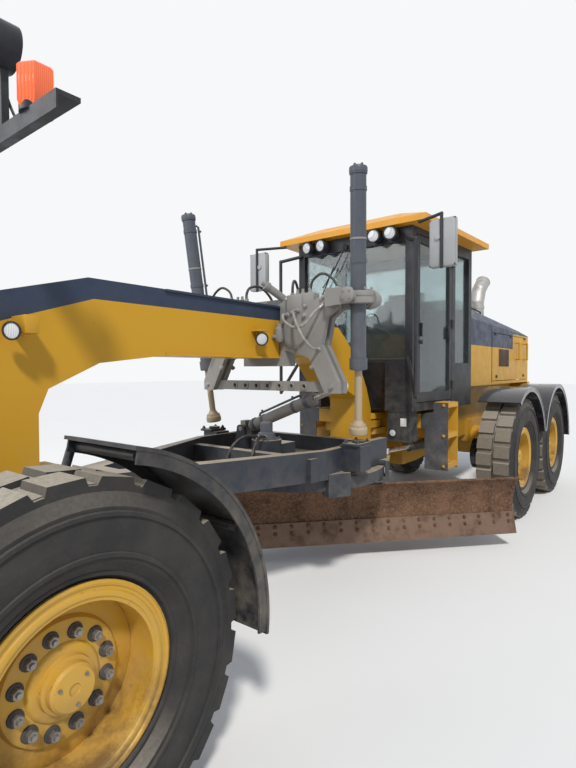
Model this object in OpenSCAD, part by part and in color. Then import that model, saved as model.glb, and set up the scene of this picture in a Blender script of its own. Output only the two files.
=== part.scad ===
// Motor grader on six wheels. Forward is +X, left is +Y, up is +Z.
// The origin is on the ground below the middle of the machine. Millimetres.

/* [Whole machine] */
// Overall length, front tyre to rear bumper
overall_l = 8890; // [8700:10:9100]
// Front axle to tandem pivot
wheelbase = 6160; // [6100:10:6220]
// Front wheel to rear wheel in one tandem
tandem_pitch = 1540; // [1480:10:1600]
// Wheel centre to wheel centre across the machine
track = 2060; // [2040:10:2100]
// Clearance round a turning pin
pin_gap = 0.1; // [0.05:0.05:0.3]
// Clearance between neighbours that move apart
gap = 8; // [6:1:10]

/* [Wheels] */
// Tyre radius over the lugs
tyre_r = 675; // [660:5:685]
// Tyre width
tyre_w = 375; // [360:5:385]
// Depth of the lugs
lug_h = 24; // [15:1:30]
// Lugs in one row round a tyre
lug_n = 24; // [20:1:28]
// Rim flange radius
rim_r = 338; // [325:1:345]
// Rim width over the flanges
rim_w = 272; // [260:2:290]
// Thickness of rim barrel and disc
rim_t = 14; // [10:1:18]
// How far the disc sits inside the rim's outer edge
rim_dish = 150; // [110:5:170]
// Hub radius
hub_r = 118; // [105:1:130]
// Spindle radius
spindle_r = 45; // [35:1:50]

/* [Front axle] */
// Height of the axle's centre pin
axle_pin_z = 740; // [720:5:760]
// Radius of the pins of axle, lean and steering
axle_pin_r = 40; // [30:1:45]
// Lean pin, from the middle
lean_y = 675; // [660:5:690]
// Height of the lean pin
lean_z = 640; // [630:5:650]
// Lean bar above the lean pin
lean_bar_up = 320; // [300:5:340]
// Kingpin, from the middle
kingpin_y = 785; // [775:5:795]
// Steering arm, kingpin to tie rod
steer_arm = 340; // [330:5:350]
// Radius of the lean bar and the tie rod
bar_r = 26; // [20:1:32]
// Fore and aft depth of the axle beam
axle_d = 200; // [170:5:230]

/* [Front fenders] */
// Inner radius of the fender over the tyre
fender_r = 765; // [745:5:790]
// Fender sheet thickness
fender_t = 14; // [8:1:20]
// Fender width
fender_w = 440; // [410:5:470]

/* [Front frame] */
// Beam width
beam_w = 310; // [280:5:340]
// Beam top above the ground
beam_top = 2170; // [2140:5:2200]
// Beam depth
beam_h = 400; // [370:5:430]
// Articulation pin ahead of the tandem pivot
hinge_ahead = 2330; // [2300:5:2350]
// Radius of the articulation pins
hinge_r = 45; // [40:1:60]
// Underside of the articulation joint
hinge_z0 = 700; // [680:5:720]
// Top of the articulation joint
hinge_z1 = 1240; // [1210:5:1260]

/* [Drawbar and circle] */
// Drawbar ball behind the front axle
ball_back = 440; // [425:5:455]
// Height of the drawbar ball
ball_z = 1000; // [980:5:1020]
// Radius of the drawbar ball
ball_r = 55; // [45:1:65]
// Circle centre behind the front axle
circle_back = 2600; // [2580:5:2620]
// Circle outer radius
circle_r = 762; // [740:2:780]
// Circle ring width
circle_w = 120; // [100:5:140]
// Circle ring underside
circle_z = 815; // [805:1:825]
// Circle ring depth
circle_h = 85; // [70:5:95]
// Drawbar plate thickness
drawbar_t = 35; // [25:1:45]
// Height of the drawbar's side rails
rail_h = 170; // [140:5:190]

/* [Blade] */
// Moldboard length
blade_l = 4267; // [4100:1:4300]
// Angle of the blade from straight across
blade_turn = 48; // [45:0.1:52]
// Radius of the moldboard's curve
blade_r = 413; // [400:1:430]
// Moldboard thickness
blade_t = 22; // [18:1:28]
// Cutting edge height
edge_h = 203; // [180:1:220]
// Cutting edge thickness
edge_t = 19; // [16:1:25]
// Cutting edge above the ground
blade_up = 140; // [110:5:160]
// Side shift each way
blade_shift = 683; // [600:1:683]

/* [Lift cylinders] */
// Lift ball behind the front axle
lift_back = 2400; // [2380:5:2420]
// Lift ball, from the middle
lift_ball_y = 755; // [745:5:765]
// Height of the lift ball
lift_ball_z = 1190; // [1180:5:1200]
// Lift collar ahead of the ball
collar_ahead = 105; // [90:5:120]
// Lift collar, from the middle
collar_y = 815; // [800:5:830]
// Height of the lift collar
collar_z = 2190; // [2170:5:2210]
// Lift cylinder barrel radius
lift_r = 55; // [48:1:60]
// Lift cylinder rod radius
lift_rod_r = 27; // [22:1:32]
// Barrel length above its collar
lift_above = 850; // [800:10:880]
// Barrel length below its collar
lift_below = 500; // [460:10:520]

/* [Cab] */
// Cab front ahead of the articulation pin
cab_ahead = 280; // [270:5:290]
// Cab length
cab_l = 1370; // [1330:10:1400]
// Cab half width at the front
cab_front_y = 650; // [630:5:660]
// Cab half width at the back
cab_rear_y = 725; // [710:5:735]
// Cab floor underside
cab_floor_z = 1290; // [1275:5:1300]
// Underside of the roof
roof_z = 3000; // [2960:5:3030]
// Roof height at its crest
roof_h = 175; // [150:5:190]
// Thickness of the pillars
pillar = 75; // [60:1:90]
// Front door pillar to rear door pillar
door_l = 770; // [740:5:790]
// Glass thickness
glass_t = 8; // [6:1:10]

/* [Hood] */
// Hood half width
hood_y = 600; // [580:5:620]
// Underside of the hood
hood_z0 = 1480; // [1470:5:1500]
// Top of the hood's straight side at the cab
hood_side_z = 2300; // [2270:5:2320]
// Top of the hood
hood_top_z = 2490; // [2470:5:2510]
// Fall of the hood's top towards the back
hood_fall = 190; // [150:5:230]
// Hood sheet thickness
hood_t = 25; // [18:1:32]
// Side door length
side_door_l = 1750; // [1650:10:1800]
// Exhaust pipe radius
stack_r = 95; // [80:1:105]

/* [Tandems] */
// Tandem case thickness across
case_w = 150; // [130:5:160]
// Tandem case height
case_h = 400; // [360:5:430]
// Inner face of the tandem case, from the middle
case_y = 620; // [610:5:640]
// Inner radius of the rear fenders
rear_fender_r = 790; // [775:5:810]

/* [Hidden] */
$fn = 48;

YELLOW = "#d9a01d";
DARK = "#2f343a";
SLATE = "#46525f";
STEEL = "#9a9c9b";
RUST = "#6a4a34";
RUBBER = "#26282a";

// Places that follow from the sizes above
axle_x = overall_l/2 - tyre_r;
tandem_x = axle_x - wheelbase;
rear_x = -overall_l/2;
hub_z = tyre_r;
wheel_y = track/2;
hinge_x = tandem_x + hinge_ahead;
beam_z = beam_top - beam_h;
cab_x = hinge_x + cab_ahead;
cab_end_x = cab_x - cab_l;
hood_x = cab_end_x - 60;
hood_end_x = rear_x + 215;
ball_x = axle_x - ball_back;
circle_x = axle_x - circle_back;
plate_z = circle_z + circle_h + gap;
lift_x = axle_x - lift_back;
collar_x = lift_x + collar_ahead;
lean_bar_z = lean_z + lean_bar_up;

// Shapes laid on the three planes
module along_y(y0, y1) { translate([0, y1, 0]) rotate([90, 0, 0]) linear_extrude(y1 - y0) children(); }
module along_x(x0, x1) { translate([x0, 0, 0]) rotate([90, 0, 90]) linear_extrude(x1 - x0) children(); }
module along_z(z0, z1) { translate([0, 0, z0]) linear_extrude(z1 - z0) children(); }
module box(x, y, z) { translate([x[0], y[0], z[0]]) cube([x[1] - x[0], y[1] - y[0], z[1] - z[0]]); }
module both_sides() { children(); mirror([0, 1, 0]) children(); }

// A round bar from one point to another
module bar(p, q, r) {
    d = q - p;
    translate(p) rotate([0, acos(d[2]/norm(d)), atan2(d[1], d[0])]) cylinder(h = norm(d), r = r);
}
// An eye for a pin along Y, X or Z, solid until it is bored
module disc_y(c, r, w) { translate([c[0], c[1] + w/2, c[2]]) rotate([90, 0, 0]) cylinder(h = w, r = r); }
module disc_x(c, r, w) { translate([c[0] - w/2, c[1], c[2]]) rotate([0, 90, 0]) cylinder(h = w, r = r); }
module disc_z(c, r, w) { translate([c[0], c[1], c[2] - w/2]) cylinder(h = w, r = r); }
// A bent tube through a list of points
module tube(points, r) {
    for (i = [0:len(points) - 2]) bar(points[i], points[i + 1], r);
    for (i = [1:len(points) - 2]) translate(points[i]) sphere(r = r + 1);
}

// Wheels: columns are name, x, side
tyre_base_r = tyre_r - lug_h;
seat_in = 31;
module tyre(x, side) {
    bead_y = rim_w/2 - 15;
    section = [
        [rim_r - seat_in, bead_y], [rim_r + 2, bead_y], [rim_r + 14, bead_y + 8], [rim_r + 70,
            tyre_w/2 - 10],
        [rim_r + 150, tyre_w/2], [tyre_base_r - 70, tyre_w/2 - 8], [tyre_base_r, tyre_w/2 - 42]
    ];
    other = [for (i = [len(section) - 1:-1:0]) [section[i][0], -section[i][1]]];
    color(RUBBER) translate([x, side*wheel_y, hub_z]) rotate([90, 0, 0]) union() {
        rotate_extrude() polygon(concat(section, other));
        for (s = [-1, 1]) translate([0, 0, s > 0 ? 22 : 22 - tyre_w/2 + 8]) rotate([0, 0, s*90/lug_n])
            linear_extrude(tyre_w/2 - 30) lug_ring();
    }
}
module lug_ring() {
    step = 360/lug_n;
    flank = 0.34*step;
    difference() {
        polygon([for (i = [0:lug_n - 1], k = [[-flank, tyre_r], [flank, tyre_r],
            [flank + 1, tyre_base_r - 4], [step - flank - 1, tyre_base_r - 4]])
            k[1]*[cos(i*step + k[0]), sin(i*step + k[0])]]);
        circle(r = tyre_base_r - 40);
    }
}
// The disc is set in from the rim's outer edge, which faces away from the machine
module rim(x, side) {
    inner = rim_r - 48;
    color(YELLOW) translate([x, side*wheel_y, hub_z]) rotate([side > 0 ? -90 : 90, 0, 0]) {
        difference() {
            union() {
                rotate_extrude() polygon([
                    [inner - rim_t, -rim_w/2], [rim_r, -rim_w/2], [rim_r, -rim_w/2 + 11],
                    [rim_r - seat_in, -rim_w/2 + 14], [rim_r - seat_in, -rim_w/2 + 46], [inner,
                        -rim_w/2 + 60],
                    [inner, rim_w/2 - 60], [rim_r - seat_in, rim_w/2 - 46], [rim_r - seat_in,
                        rim_w/2 - 14], [rim_r, rim_w/2 - 11], [rim_r, rim_w/2], [inner - rim_t, rim_w/2]
                ]);
                disc_z([0, 0, rim_w/2 - rim_dish], inner, rim_t + 8);
                disc_z([0, 0, rim_w/2 - rim_dish], hub_r + 55, 60);
                disc_z([0, 0, rim_w/2 - rim_dish + 20], hub_r - 30, 120);
            }
            disc_z([0, 0, rim_w/2 - rim_dish - 30], spindle_r + pin_gap, 100);
        }
    }
}

rear_wheels = [["rear_left_1", tandem_x + tandem_pitch/2, 1], ["rear_left_2", tandem_x - tandem_pitch/2, 1],
    ["rear_right_1", tandem_x + tandem_pitch/2, -1], ["rear_right_2", tandem_x - tandem_pitch/2, -1]];
spindle_end_y = wheel_y + rim_w/2 - rim_dish + 20;

// Front axle: an arched beam hung on a pin along X
module front_axle() {
    color(DARK) difference() {
        union() {
            along_x(axle_x - axle_d/2, axle_x + axle_d/2) polygon([
                [-lean_y + 20, lean_z - 75], [-lean_y + 130, lean_z - 75], [-190, axle_pin_z - 130],
                [190, axle_pin_z - 130], [lean_y - 130, lean_z - 75], [lean_y - 20, lean_z - 75],
                [lean_y - 20, lean_z + 55], [lean_y - 160, lean_z + 75], [200, axle_pin_z + 90],
                [100, axle_pin_z + 120], [-100, axle_pin_z + 120], [-200, axle_pin_z + 90],
                [-lean_y + 160, lean_z + 75], [-lean_y + 20, lean_z + 55]
            ]);
            both_sides() disc_x([axle_x, lean_y, lean_z], axle_pin_r + 14, axle_d - 90);
        }
        disc_x([axle_x, 0, axle_pin_z], axle_pin_r + pin_gap, axle_d + 2);
        both_sides() disc_x([axle_x, lean_y, lean_z], axle_pin_r + pin_gap, axle_d + 2);
        both_sides() for (s = [-1, 1])
            box(x = [axle_x + (s > 0 ? axle_d/2 - 45 : -axle_d/2 - 1),
                axle_x + (s > 0 ? axle_d/2 + 1 : -axle_d/2 + 45)],
                y = [lean_y - 110, lean_y + 90], z = [lean_z - 120, lean_z + 120]);
    }
}

// Yoke: carries the kingpin and tips about the lean pin
module yoke(side) {
    cheek = [[lean_y - 62, lean_z - 62], [lean_y + 82, lean_z - 62], [lean_y + 82, lean_z + 132],
        [lean_y + 62, lean_bar_z - 40], [lean_y + 50, lean_bar_z + 50], [lean_y - 50, lean_bar_z + 50],
            [lean_y - 55, lean_z + 90]];
    color(DARK) mirror([0, side > 0 ? 0 : 1, 0]) difference() {
        union() {
            for (s = [-1, 1]) translate([axle_x + s*(axle_d/2 - 22), 0, 0])
                along_x(-17, 17) polygon(cheek);
            disc_x([axle_x, lean_y, lean_z], axle_pin_r, axle_d - 10);
            disc_x([axle_x, lean_y, lean_bar_z], bar_r, axle_d - 10);
            for (z = [[lean_z - 60, lean_z - 15], [lean_z + 85, lean_z + 130]]) hull() {
                disc_z([axle_x, kingpin_y, (z[0] + z[1])/2], 58, z[1] - z[0]);
                box(x = [axle_x - axle_d/2 + 5, axle_x + axle_d/2 - 5], y = [lean_y + 60, lean_y + 82],
                    z = z);
            }
            box(x = [axle_x - axle_d/2 + 5, axle_x + axle_d/2 - 5], y = [lean_y + 60, lean_y + 76],
                z = [lean_z + 100, lean_bar_z - 60]);
        }
        disc_z([axle_x, kingpin_y, lean_z + 35], axle_pin_r + pin_gap, 300);
    }
}

module front_fender() {
    lip = wheel_y + fender_w/2 + 30;
    translate([axle_x, lip, hub_z]) rotate([90, 0, 0]) {
        linear_extrude(fender_w) fender_band(fender_r, fender_t, 100, 187);
        for (y = [3, fender_w - 13]) translate([0, 0, y]) linear_extrude(10)
            fender_band(fender_r - 45, 45 + fender_t/2, 101, 186);
    }
    // Bent tube that carries the fender from the knuckle
    inner = lip - fender_w - 30;
    for (a = [104, 150]) tube([[axle_x - 60, kingpin_y + 81, hub_z + 160], [axle_x - 60, inner,
        hub_z + 365],
        [axle_x + (fender_r - 20)*cos(a), inner, hub_z + (fender_r - 20)*sin(a)],
        [axle_x + (fender_r - 20)*cos(a), lip - 60, hub_z + (fender_r - 20)*sin(a)]], 17);
}
// A strip of sheet bent round the wheel from one angle to another
module fender_band(r, t, a0, a1) {
    reach = 2*r;
    intersection() {
        difference() { circle(r = r + t, $fn = 96); circle(r = r, $fn = 96); }
        polygon(concat([[0, 0]], [for (a = [a0:(a1 - a0)/6:a1]) reach*[cos(a), sin(a)]]));
    }
}

// Knuckle: turns about the kingpin, with spindle, steering arm and fender
module knuckle(side) {
    arm_x = axle_x - steer_arm;
    color(DARK) mirror([0, side > 0 ? 0 : 1, 0]) difference() {
        union() {
            disc_z([axle_x, kingpin_y, (arm_z + lean_z + 140)/2], axle_pin_r, lean_z + 140 - arm_z);
            disc_z([axle_x, kingpin_y, lean_z + 35], 50, 97);
            disc_y([axle_x, (kingpin_y + wheel_y - 80)/2, hub_z], 46, wheel_y - 80 - kingpin_y);
            disc_y([axle_x, (kingpin_y + spindle_end_y)/2, hub_z], spindle_r, spindle_end_y - kingpin_y);
            along_z(arm_z, arm_z + 30) polygon([[axle_x + 30, kingpin_y - 38], [arm_x, kingpin_y - 34],
                [arm_x - 34, kingpin_y], [arm_x, kingpin_y + 34], [axle_x + 30, kingpin_y + 38]]);
            // Post for the fender's tubes, outside the yoke
            box(x = [axle_x - 62, axle_x + 30], y = [kingpin_y + 62, kingpin_y + 100], z = [hub_z - 40,
                hub_z + 40]);
            box(x = [axle_x - 90, axle_x - 30], y = [kingpin_y + 62, kingpin_y + 100], z = [hub_z - 40,
                hub_z + 190]);
            front_fender();
        }
        disc_z([arm_x, kingpin_y, arm_z], tie_pin_r + pin_gap, 100);
    }
}
module tie_rod_end() {
    arm_x = axle_x - steer_arm;
    color(STEEL) {
        disc_z([arm_x, kingpin_y, arm_z + 2], tie_pin_r, 56);
        translate([arm_x, kingpin_y, tie_z]) sphere(r = 22);
    }
}
// The steering arm passes below the yoke and the axle beam
arm_z = lean_z - 135;
tie_z = arm_z - 44;
tie_pin_r = 13;
module tie_rod() {
    arm_x = axle_x - steer_arm;
    z = tie_z;
    color(STEEL) difference() {
        union() {
            bar([arm_x, -kingpin_y, z], [arm_x, kingpin_y, z], bar_r - 4);
            both_sides() disc_z([arm_x, kingpin_y, z], 34, 36);
        }
        translate([arm_x, kingpin_y, z]) sphere(r = 22 + pin_gap);
        disc_z([arm_x, kingpin_y, z + 20], 24, 40);
    }
}
module lean_bar() {
    color(STEEL) difference() {
        union() {
            bar([axle_x, -lean_y, lean_bar_z], [axle_x, lean_y, lean_bar_z], bar_r);
            both_sides() disc_x([axle_x, lean_y, lean_bar_z], 44, 80);
        }
        both_sides() disc_x([axle_x, lean_y, lean_bar_z], bar_r + pin_gap, 90);
    }
}

// Front frame: box beam, nose over the axle, gooseneck down to the articulation
module front_frame() {
    nose_x = axle_x + 210;
    lug_t = 70;
    foot_x = hinge_x + 425;
    side = [
        [nose_x, 1090], [nose_x, 1480], [axle_x + 60, 1880], [axle_x - 200, 2050], [axle_x - 640, beam_top],
        [hinge_x + 1020, beam_top], [hinge_x + 830, beam_top - 60], [hinge_x + 620, 1950], [hinge_x + 400,
            1750],
        [hinge_x + 250, 1500], [hinge_x + 165, 1290], [hinge_x + 165, hinge_z0 + 20], [foot_x,
            hinge_z0 + 20],
        [foot_x, 1400], [foot_x + 60, 1435], [foot_x + 400, 1580], [hinge_x + 960, beam_z - 40],
        [hinge_x + 1100, beam_z], [axle_x - 1140, beam_z], [axle_x - 700, beam_z - 50], [axle_x - 420,
            beam_z - 180],
        [axle_x - 370, beam_z - 300], [axle_x - 370, 1090]
    ];
    color(YELLOW) difference() {
        union() {
            along_y(-beam_w/2, beam_w/2) polygon(side);
            // Top and bottom flanges stand a little proud of the side plates
            for (f = [[beam_top - 14, 14], [beam_z, 14]])
                box(x = [hinge_x + 1100, axle_x - 1140], y = [-beam_w/2 - 14, beam_w/2 + 14], z = [f[0],
                    f[0] + f[1]]);
            // Fork that hangs over the axle's centre pin
            for (s = [-1, 1]) translate([axle_x + s*(axle_d/2 + gap + lug_t/2), 0, 0]) {
                along_x(-lug_t/2, lug_t/2) polygon([[-beam_w/2, 1100], [-100, axle_pin_z - 80], [-50,
                    axle_pin_z - 120],
                    [50, axle_pin_z - 120], [100, axle_pin_z - 80], [beam_w/2, 1100]]);
            }
            disc_x([axle_x, 0, axle_pin_z], axle_pin_r, axle_d + 2*gap + lug_t);
            // Ball socket bracket for the drawbar
            box(x = [ball_x - 75, axle_x - 300], y = [-90, 90], z = [ball_z, ball_z + 190]);
            // Articulation eyes, wider than the beam
            for (z = hinge_lugs) disc_z([hinge_x, 0, z], 150, 70);
            for (z = hinge_lugs) box(x = [hinge_x, hinge_x + 200], y = [-150, 150], z = [z - 35, z + 35]);
            both_sides() box(x = [hinge_x + 205, hinge_x + 295], y = [beam_w/2, hinge_cyl_front_y],
                z = [hinge_cyl_z - 75, hinge_cyl_z - 40]);
            both_sides() disc_z([hinge_x + hinge_cyl_front, hinge_cyl_front_y, hinge_cyl_z - 57], 45, 35);
        }
        for (z = hinge_lugs) disc_z([hinge_x, 0, z], hinge_r + pin_gap, 80);
        translate([ball_x, 0, ball_z]) sphere(r = ball_r + pin_gap);
        // Bolt holes for an attachment on the flat nose
        for (y = [-nose_bolt_y, nose_bolt_y], z = [-nose_bolt_z, nose_bolt_z])
            disc_x([nose_x, y, nose_bolts_z + z], nose_bolt_r, 120);
    }
}
nose_bolts_z = 1290;
nose_bolt_y = 110;
nose_bolt_z = 140;
nose_bolt_r = 13;
hinge_lugs = [hinge_z0 + 110, hinge_z1 - 110];
hinge_cyl_z = 900;
hinge_cyl_front = 250;
hinge_cyl_front_y = 360;
hinge_cyl_rear = -700;
hinge_cyl_rear_y = 500;

// Saddle: a yoke round the beam with an arm each side, and a locking bar below
module saddle() {
    x0 = collar_x - 55;
    x1 = collar_x + 75;
    foot_y = 640;
    foot_z = beam_z - 215;
    arm = [[beam_w/2 + 20, beam_top - 130], [beam_w/2 + 120, beam_top - 60], [collar_y - 170,
        collar_z + 60],
        [collar_y - 128, collar_z + 60], [collar_y - 128, collar_z - 70], [collar_y - 220, collar_z - 130],
        [foot_y - 90, beam_z + 90], [foot_y + 50, foot_z + 40], [foot_y + 50, foot_z - 45], [foot_y - 60,
            foot_z - 45],
        [foot_y - 200, beam_z], [beam_w/2 + 60, beam_z + 60], [beam_w/2 + 20, beam_z + 130]];
    color(YELLOW) difference() {
        union() {
            difference() {
                box(x = [x0, x1], y = [-beam_w/2 - 60, beam_w/2 + 60], z = [beam_z - 60, beam_top + 50]);
                box(x = [x0 - 1, x1 + 1], y = [-beam_w/2 - 14, beam_w/2 + 14], z = [beam_z, beam_top]);
            }
            both_sides() for (x = [[x0, x0 + 45], [x1 - 45, x1]]) along_x(x[0], x[1]) polygon(arm);
            // Fork round the collar
            both_sides() for (x = [[collar_x - 140, x0 + 45], [x1 - 45, collar_x + 140]])
                box(x = x, y = [collar_y - 190, collar_y - 128], z = [collar_z - 65, collar_z + 60]);
            both_sides() for (x = [[collar_x - 140, collar_x - 118], [collar_x + 118, collar_x + 140]])
                along_x(x[0], x[1]) polygon([[collar_y - 190, collar_z - 65], [collar_y, collar_z - 55],
                    [collar_y + 50, collar_z - 20], [collar_y + 50, collar_z + 20], [collar_y,
                        collar_z + 55], [collar_y - 190, collar_z + 60]]);
            // Locking bar between the feet of the arms
            box(x = [collar_x - 25, collar_x + 25], y = [-foot_y, foot_y], z = [foot_z - 38, foot_z + 38]);
            both_sides() disc_x([(x0 + x1)/2, foot_y, foot_z], 30, x1 - x0);
        }
        for (i = [-3:3]) disc_x([collar_x, i*120, foot_z], 17, 200);
        both_sides() disc_x([collar_x, collar_y, collar_z], 20 + pin_gap, 300);
    }
}
shift_top = [collar_x - 197, 560, beam_z - 215];
shift_foot = [lift_x - 92, -430, plate_z + 262];

function lift_at(side, d) = let (c = [collar_x, side*collar_y, collar_z], b = [lift_x, side*lift_ball_y,
    lift_ball_z],
    u = (c - b)/norm(c - b)) c + d*u;

module lift_collar(side) {
    color(DARK) difference() {
        union() {
            bar(lift_at(side, -45), lift_at(side, 45), 100);
            disc_x([collar_x, side*collar_y, collar_z], 20, 276);
        }
        bar(lift_at(side, -60), lift_at(side, 60), 84);
        disc_y([collar_x, side*collar_y, collar_z], 18 + pin_gap, 240);
    }
}
module lift_barrel(side) {
    color(DARK) difference() {
        union() {
            bar(lift_at(side, -lift_below), lift_at(side, lift_above), lift_r);
            bar(lift_at(side, -lift_below), lift_at(side, -lift_below + 70), lift_r + 9);
            bar(lift_at(side, lift_above - 30), lift_at(side, lift_above + 12), lift_r + 6);
            bar(lift_at(side, -50), lift_at(side, 50), lift_r + 12);
            disc_y([collar_x, side*collar_y, collar_z], 18, 192);
        }
        bar(lift_at(side, -lift_below - 1), lift_at(side, lift_above - 60), lift_rod_r + pin_gap);
    }
}
module lift_rod(side) {
    reach = norm([collar_ahead, collar_y - lift_ball_y, collar_z - lift_ball_z]);
    color(STEEL) {
        bar(lift_at(side, -reach + 60), lift_at(side, -120), lift_rod_r);
        bar(lift_at(side, -reach + 22), lift_at(side, -reach + 95), 56);
    }
}

// Drawbar: a V of box arms from the ball to a plate over the circle
module drawbar_ball() {
    color(STEEL) union() {
        translate([ball_x, 0, ball_z]) sphere(r = ball_r);
        disc_z([ball_x, 0, ball_z - ball_r - 14], 34, 60);
        disc_y([ball_x, 0, ball_z - ball_r - 50], 32, 150);
    }
}
module drawbar() {
    z1 = plate_z + drawbar_t + rail_h;
    wide = lift_ball_y - 90;
    color(SLATE) difference() {
        union() {
            along_z(plate_z, plate_z + drawbar_t) polygon([[circle_x + 1100, -330], [circle_x + 1100, 330],
                [circle_x + 480, wide], [circle_x - 420, wide], [circle_x - 690, 380], [circle_x - 690,
                    -380],
                [circle_x - 420, -wide], [circle_x + 480, -wide]]);
            both_sides() along_z(plate_z, z1) polygon([[ball_x - 140, 45], [ball_x - 140, 105],
                [circle_x + 480, wide], [circle_x - 420, wide], [circle_x - 420, wide - 60],
                    [circle_x + 460, wide - 60], [ball_x - 330, 45]]);
            box(x = [ball_x - 420, ball_x - 300], y = [-120, 120], z = [plate_z, z1]);
            for (s = [-1, 1]) box(x = [ball_x - 330, ball_x + 50], y = [s*72 - 22, s*72 + 22],
                z = [ball_z - 145, ball_z - 25]);
            for (x = [circle_x + 600, circle_x - 400]) box(x = [x - 40, x + 40], y = [-wide + 20,
                wide - 20], z = [plate_z, z1 - 40]);
            // Brackets under the lift cylinders
            both_sides() {
                box(x = [lift_x - 75, lift_x + 75], y = [wide - 20, lift_ball_y + 60], z = [plate_z + 40,
                    lift_ball_z - 60]);
                disc_z([lift_x, lift_ball_y, lift_ball_z - 42], 48, 40);
            }
            // Bracket for the circle side-shift cylinder
            translate([shift_foot[0] + 62, shift_foot[1], shift_foot[2]]) along_x(0, 32)
                polygon([[-90, plate_z - shift_foot[2]], [90, plate_z - shift_foot[2]], [50, -60], [40,
                    16], [22, 32], [-22, 32],
                    [-40, 16], [-50, -60]]);
            // Gearbox that turns the circle
            disc_z([circle_x + 350, 0, plate_z + 110], 120, 220);
            box(x = [circle_x + 90, circle_x + 350], y = [-90, 90], z = [plate_z, plate_z + 180]);
            // Shoes that hold the circle up
            for (a = shoe_angles) translate([circle_x, 0, 0]) rotate([0, 0, a]) {
                box(x = [circle_r + gap, circle_r + gap + 34], y = [-90, 90], z = [circle_z - gap - 30,
                    plate_z + drawbar_t]);
                box(x = [circle_r - shoe_lip, circle_r + gap + 34], y = [-90, 90], z = [circle_z - gap - 30,
                    circle_z - gap]);
                box(x = [circle_r - 160, circle_r + gap + 34], y = [-60, 60], z = [plate_z,
                    plate_z + drawbar_t]);
            }
        }
        disc_y([ball_x, 0, ball_z - ball_r - 50], 32 + pin_gap, 300);
        disc_x(shift_foot + [78, 0, 0], 20 + pin_gap, 60);
    }
}
shoe_angles = [62, 118, 205, 155, -62, -118];
// How far a shoe's lip reaches in under the ring
shoe_lip = 55;

module circle_ring() {
    color(SLATE) translate([circle_x, 0, 0]) difference() {
        union() {
            translate([0, 0, circle_z]) cylinder(h = circle_h, r = circle_r, $fn = 96);
            rotate([0, 0, blade_turn]) both_sides() circle_leg();
            rotate([0, 0, blade_turn]) {
                box(x = [leg_pivot_x - 20, leg_pivot_x + 25], y = [-leg_y, leg_y], z = [circle_z - 150,
                    circle_z]);
            }
        }
        translate([0, 0, circle_z - 1]) cylinder(h = circle_h + 2, r = circle_r - circle_w, $fn = 96);
        rotate([0, 0, blade_turn]) disc_y([leg_pivot_x, 0, leg_pivot_z], 30 + pin_gap, 3*leg_y);
    }
}
// The blade's own axes: x ahead of the blade, y along it towards its left end
leg_y = 560;
leg_pivot_x = -330;
leg_pivot_z = 330;
leg_t = 50;
// The legs' back edge, inside the shoes' lips at every turn of the circle
leg_back = -sqrt(pow(circle_r - shoe_lip - gap, 2) - pow(leg_y + leg_t/2, 2));
module circle_leg() {
    along_y(leg_y - leg_t/2, leg_y + leg_t/2) polygon([[leg_back, circle_z + 10], [leg_back, circle_z - 100],
        [leg_pivot_x - 60, leg_pivot_z],
        [leg_pivot_x - 40, leg_pivot_z - 50], [leg_pivot_x + 40, leg_pivot_z - 50], [leg_pivot_x + 60,
            leg_pivot_z],
        [-150, circle_z - 60], [-150, circle_z + 10]]);
}

// Moldboard: a curved sheet with two slide rails on its back
arc_low = -16;
arc_high = 44;
arc_x = 300;
edge_lap = 70;
arc_z = blade_up + (edge_h - edge_lap)*cos(arc_low) - blade_r*sin(arc_low);
rail_z = [arc_z - 130, arc_z + 90];
rail_x = arc_x - blade_r - blade_t - 45;
rail_l = leg_y + blade_shift + 100;
// The blade's side-shift cylinder runs between the rails
side_x = rail_x - 42;
side_z = arc_z - 20;
module blade_section() { translate([arc_x, arc_z]) mirror([1, 0]) fender_band(blade_r, blade_t, arc_low,
    arc_high); }
module in_blade() { translate([circle_x, 0, 0]) rotate([0, 0, blade_turn]) children(); }
module moldboard() {
    color(RUST) in_blade() {
        along_y(-blade_l/2, blade_l/2) blade_section();
        for (z = rail_z) box(x = [rail_x - 22, rail_x + 22], y = [-rail_l, rail_l], z = [z - 22, z + 22]);
        for (z = rail_z, y = [-rail_l + 25, rail_l - 25])
            box(x = [rail_x, arc_x - blade_r*cos(asin((z - arc_z)/blade_r)) - 14], y = [y - 25, y + 25],
                z = [z - 40, z + 40]);
        // Lug between the rails' ends that the side-shift rod pushes on
        box(x = [side_x - 26, rail_x + 10], y = [rail_l - 50, rail_l], z = [rail_z[0], rail_z[1]]);
        bar([side_x, -175, side_z], [side_x, rail_l - 20, side_z], 20);
    }
}
module cutting_edge() {
    p = [arc_x - blade_r*cos(arc_low), arc_z + blade_r*sin(arc_low)];
    color(STEEL) in_blade() difference() {
        translate([p[0], 0, p[1]]) rotate([0, arc_low, 0])
            box(x = [0, edge_t], y = [-blade_l/2, blade_l/2], z = [-edge_h + edge_lap, edge_lap]);
        along_y(-blade_l/2 - 1, blade_l/2 + 1) blade_section();
    }
}
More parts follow.
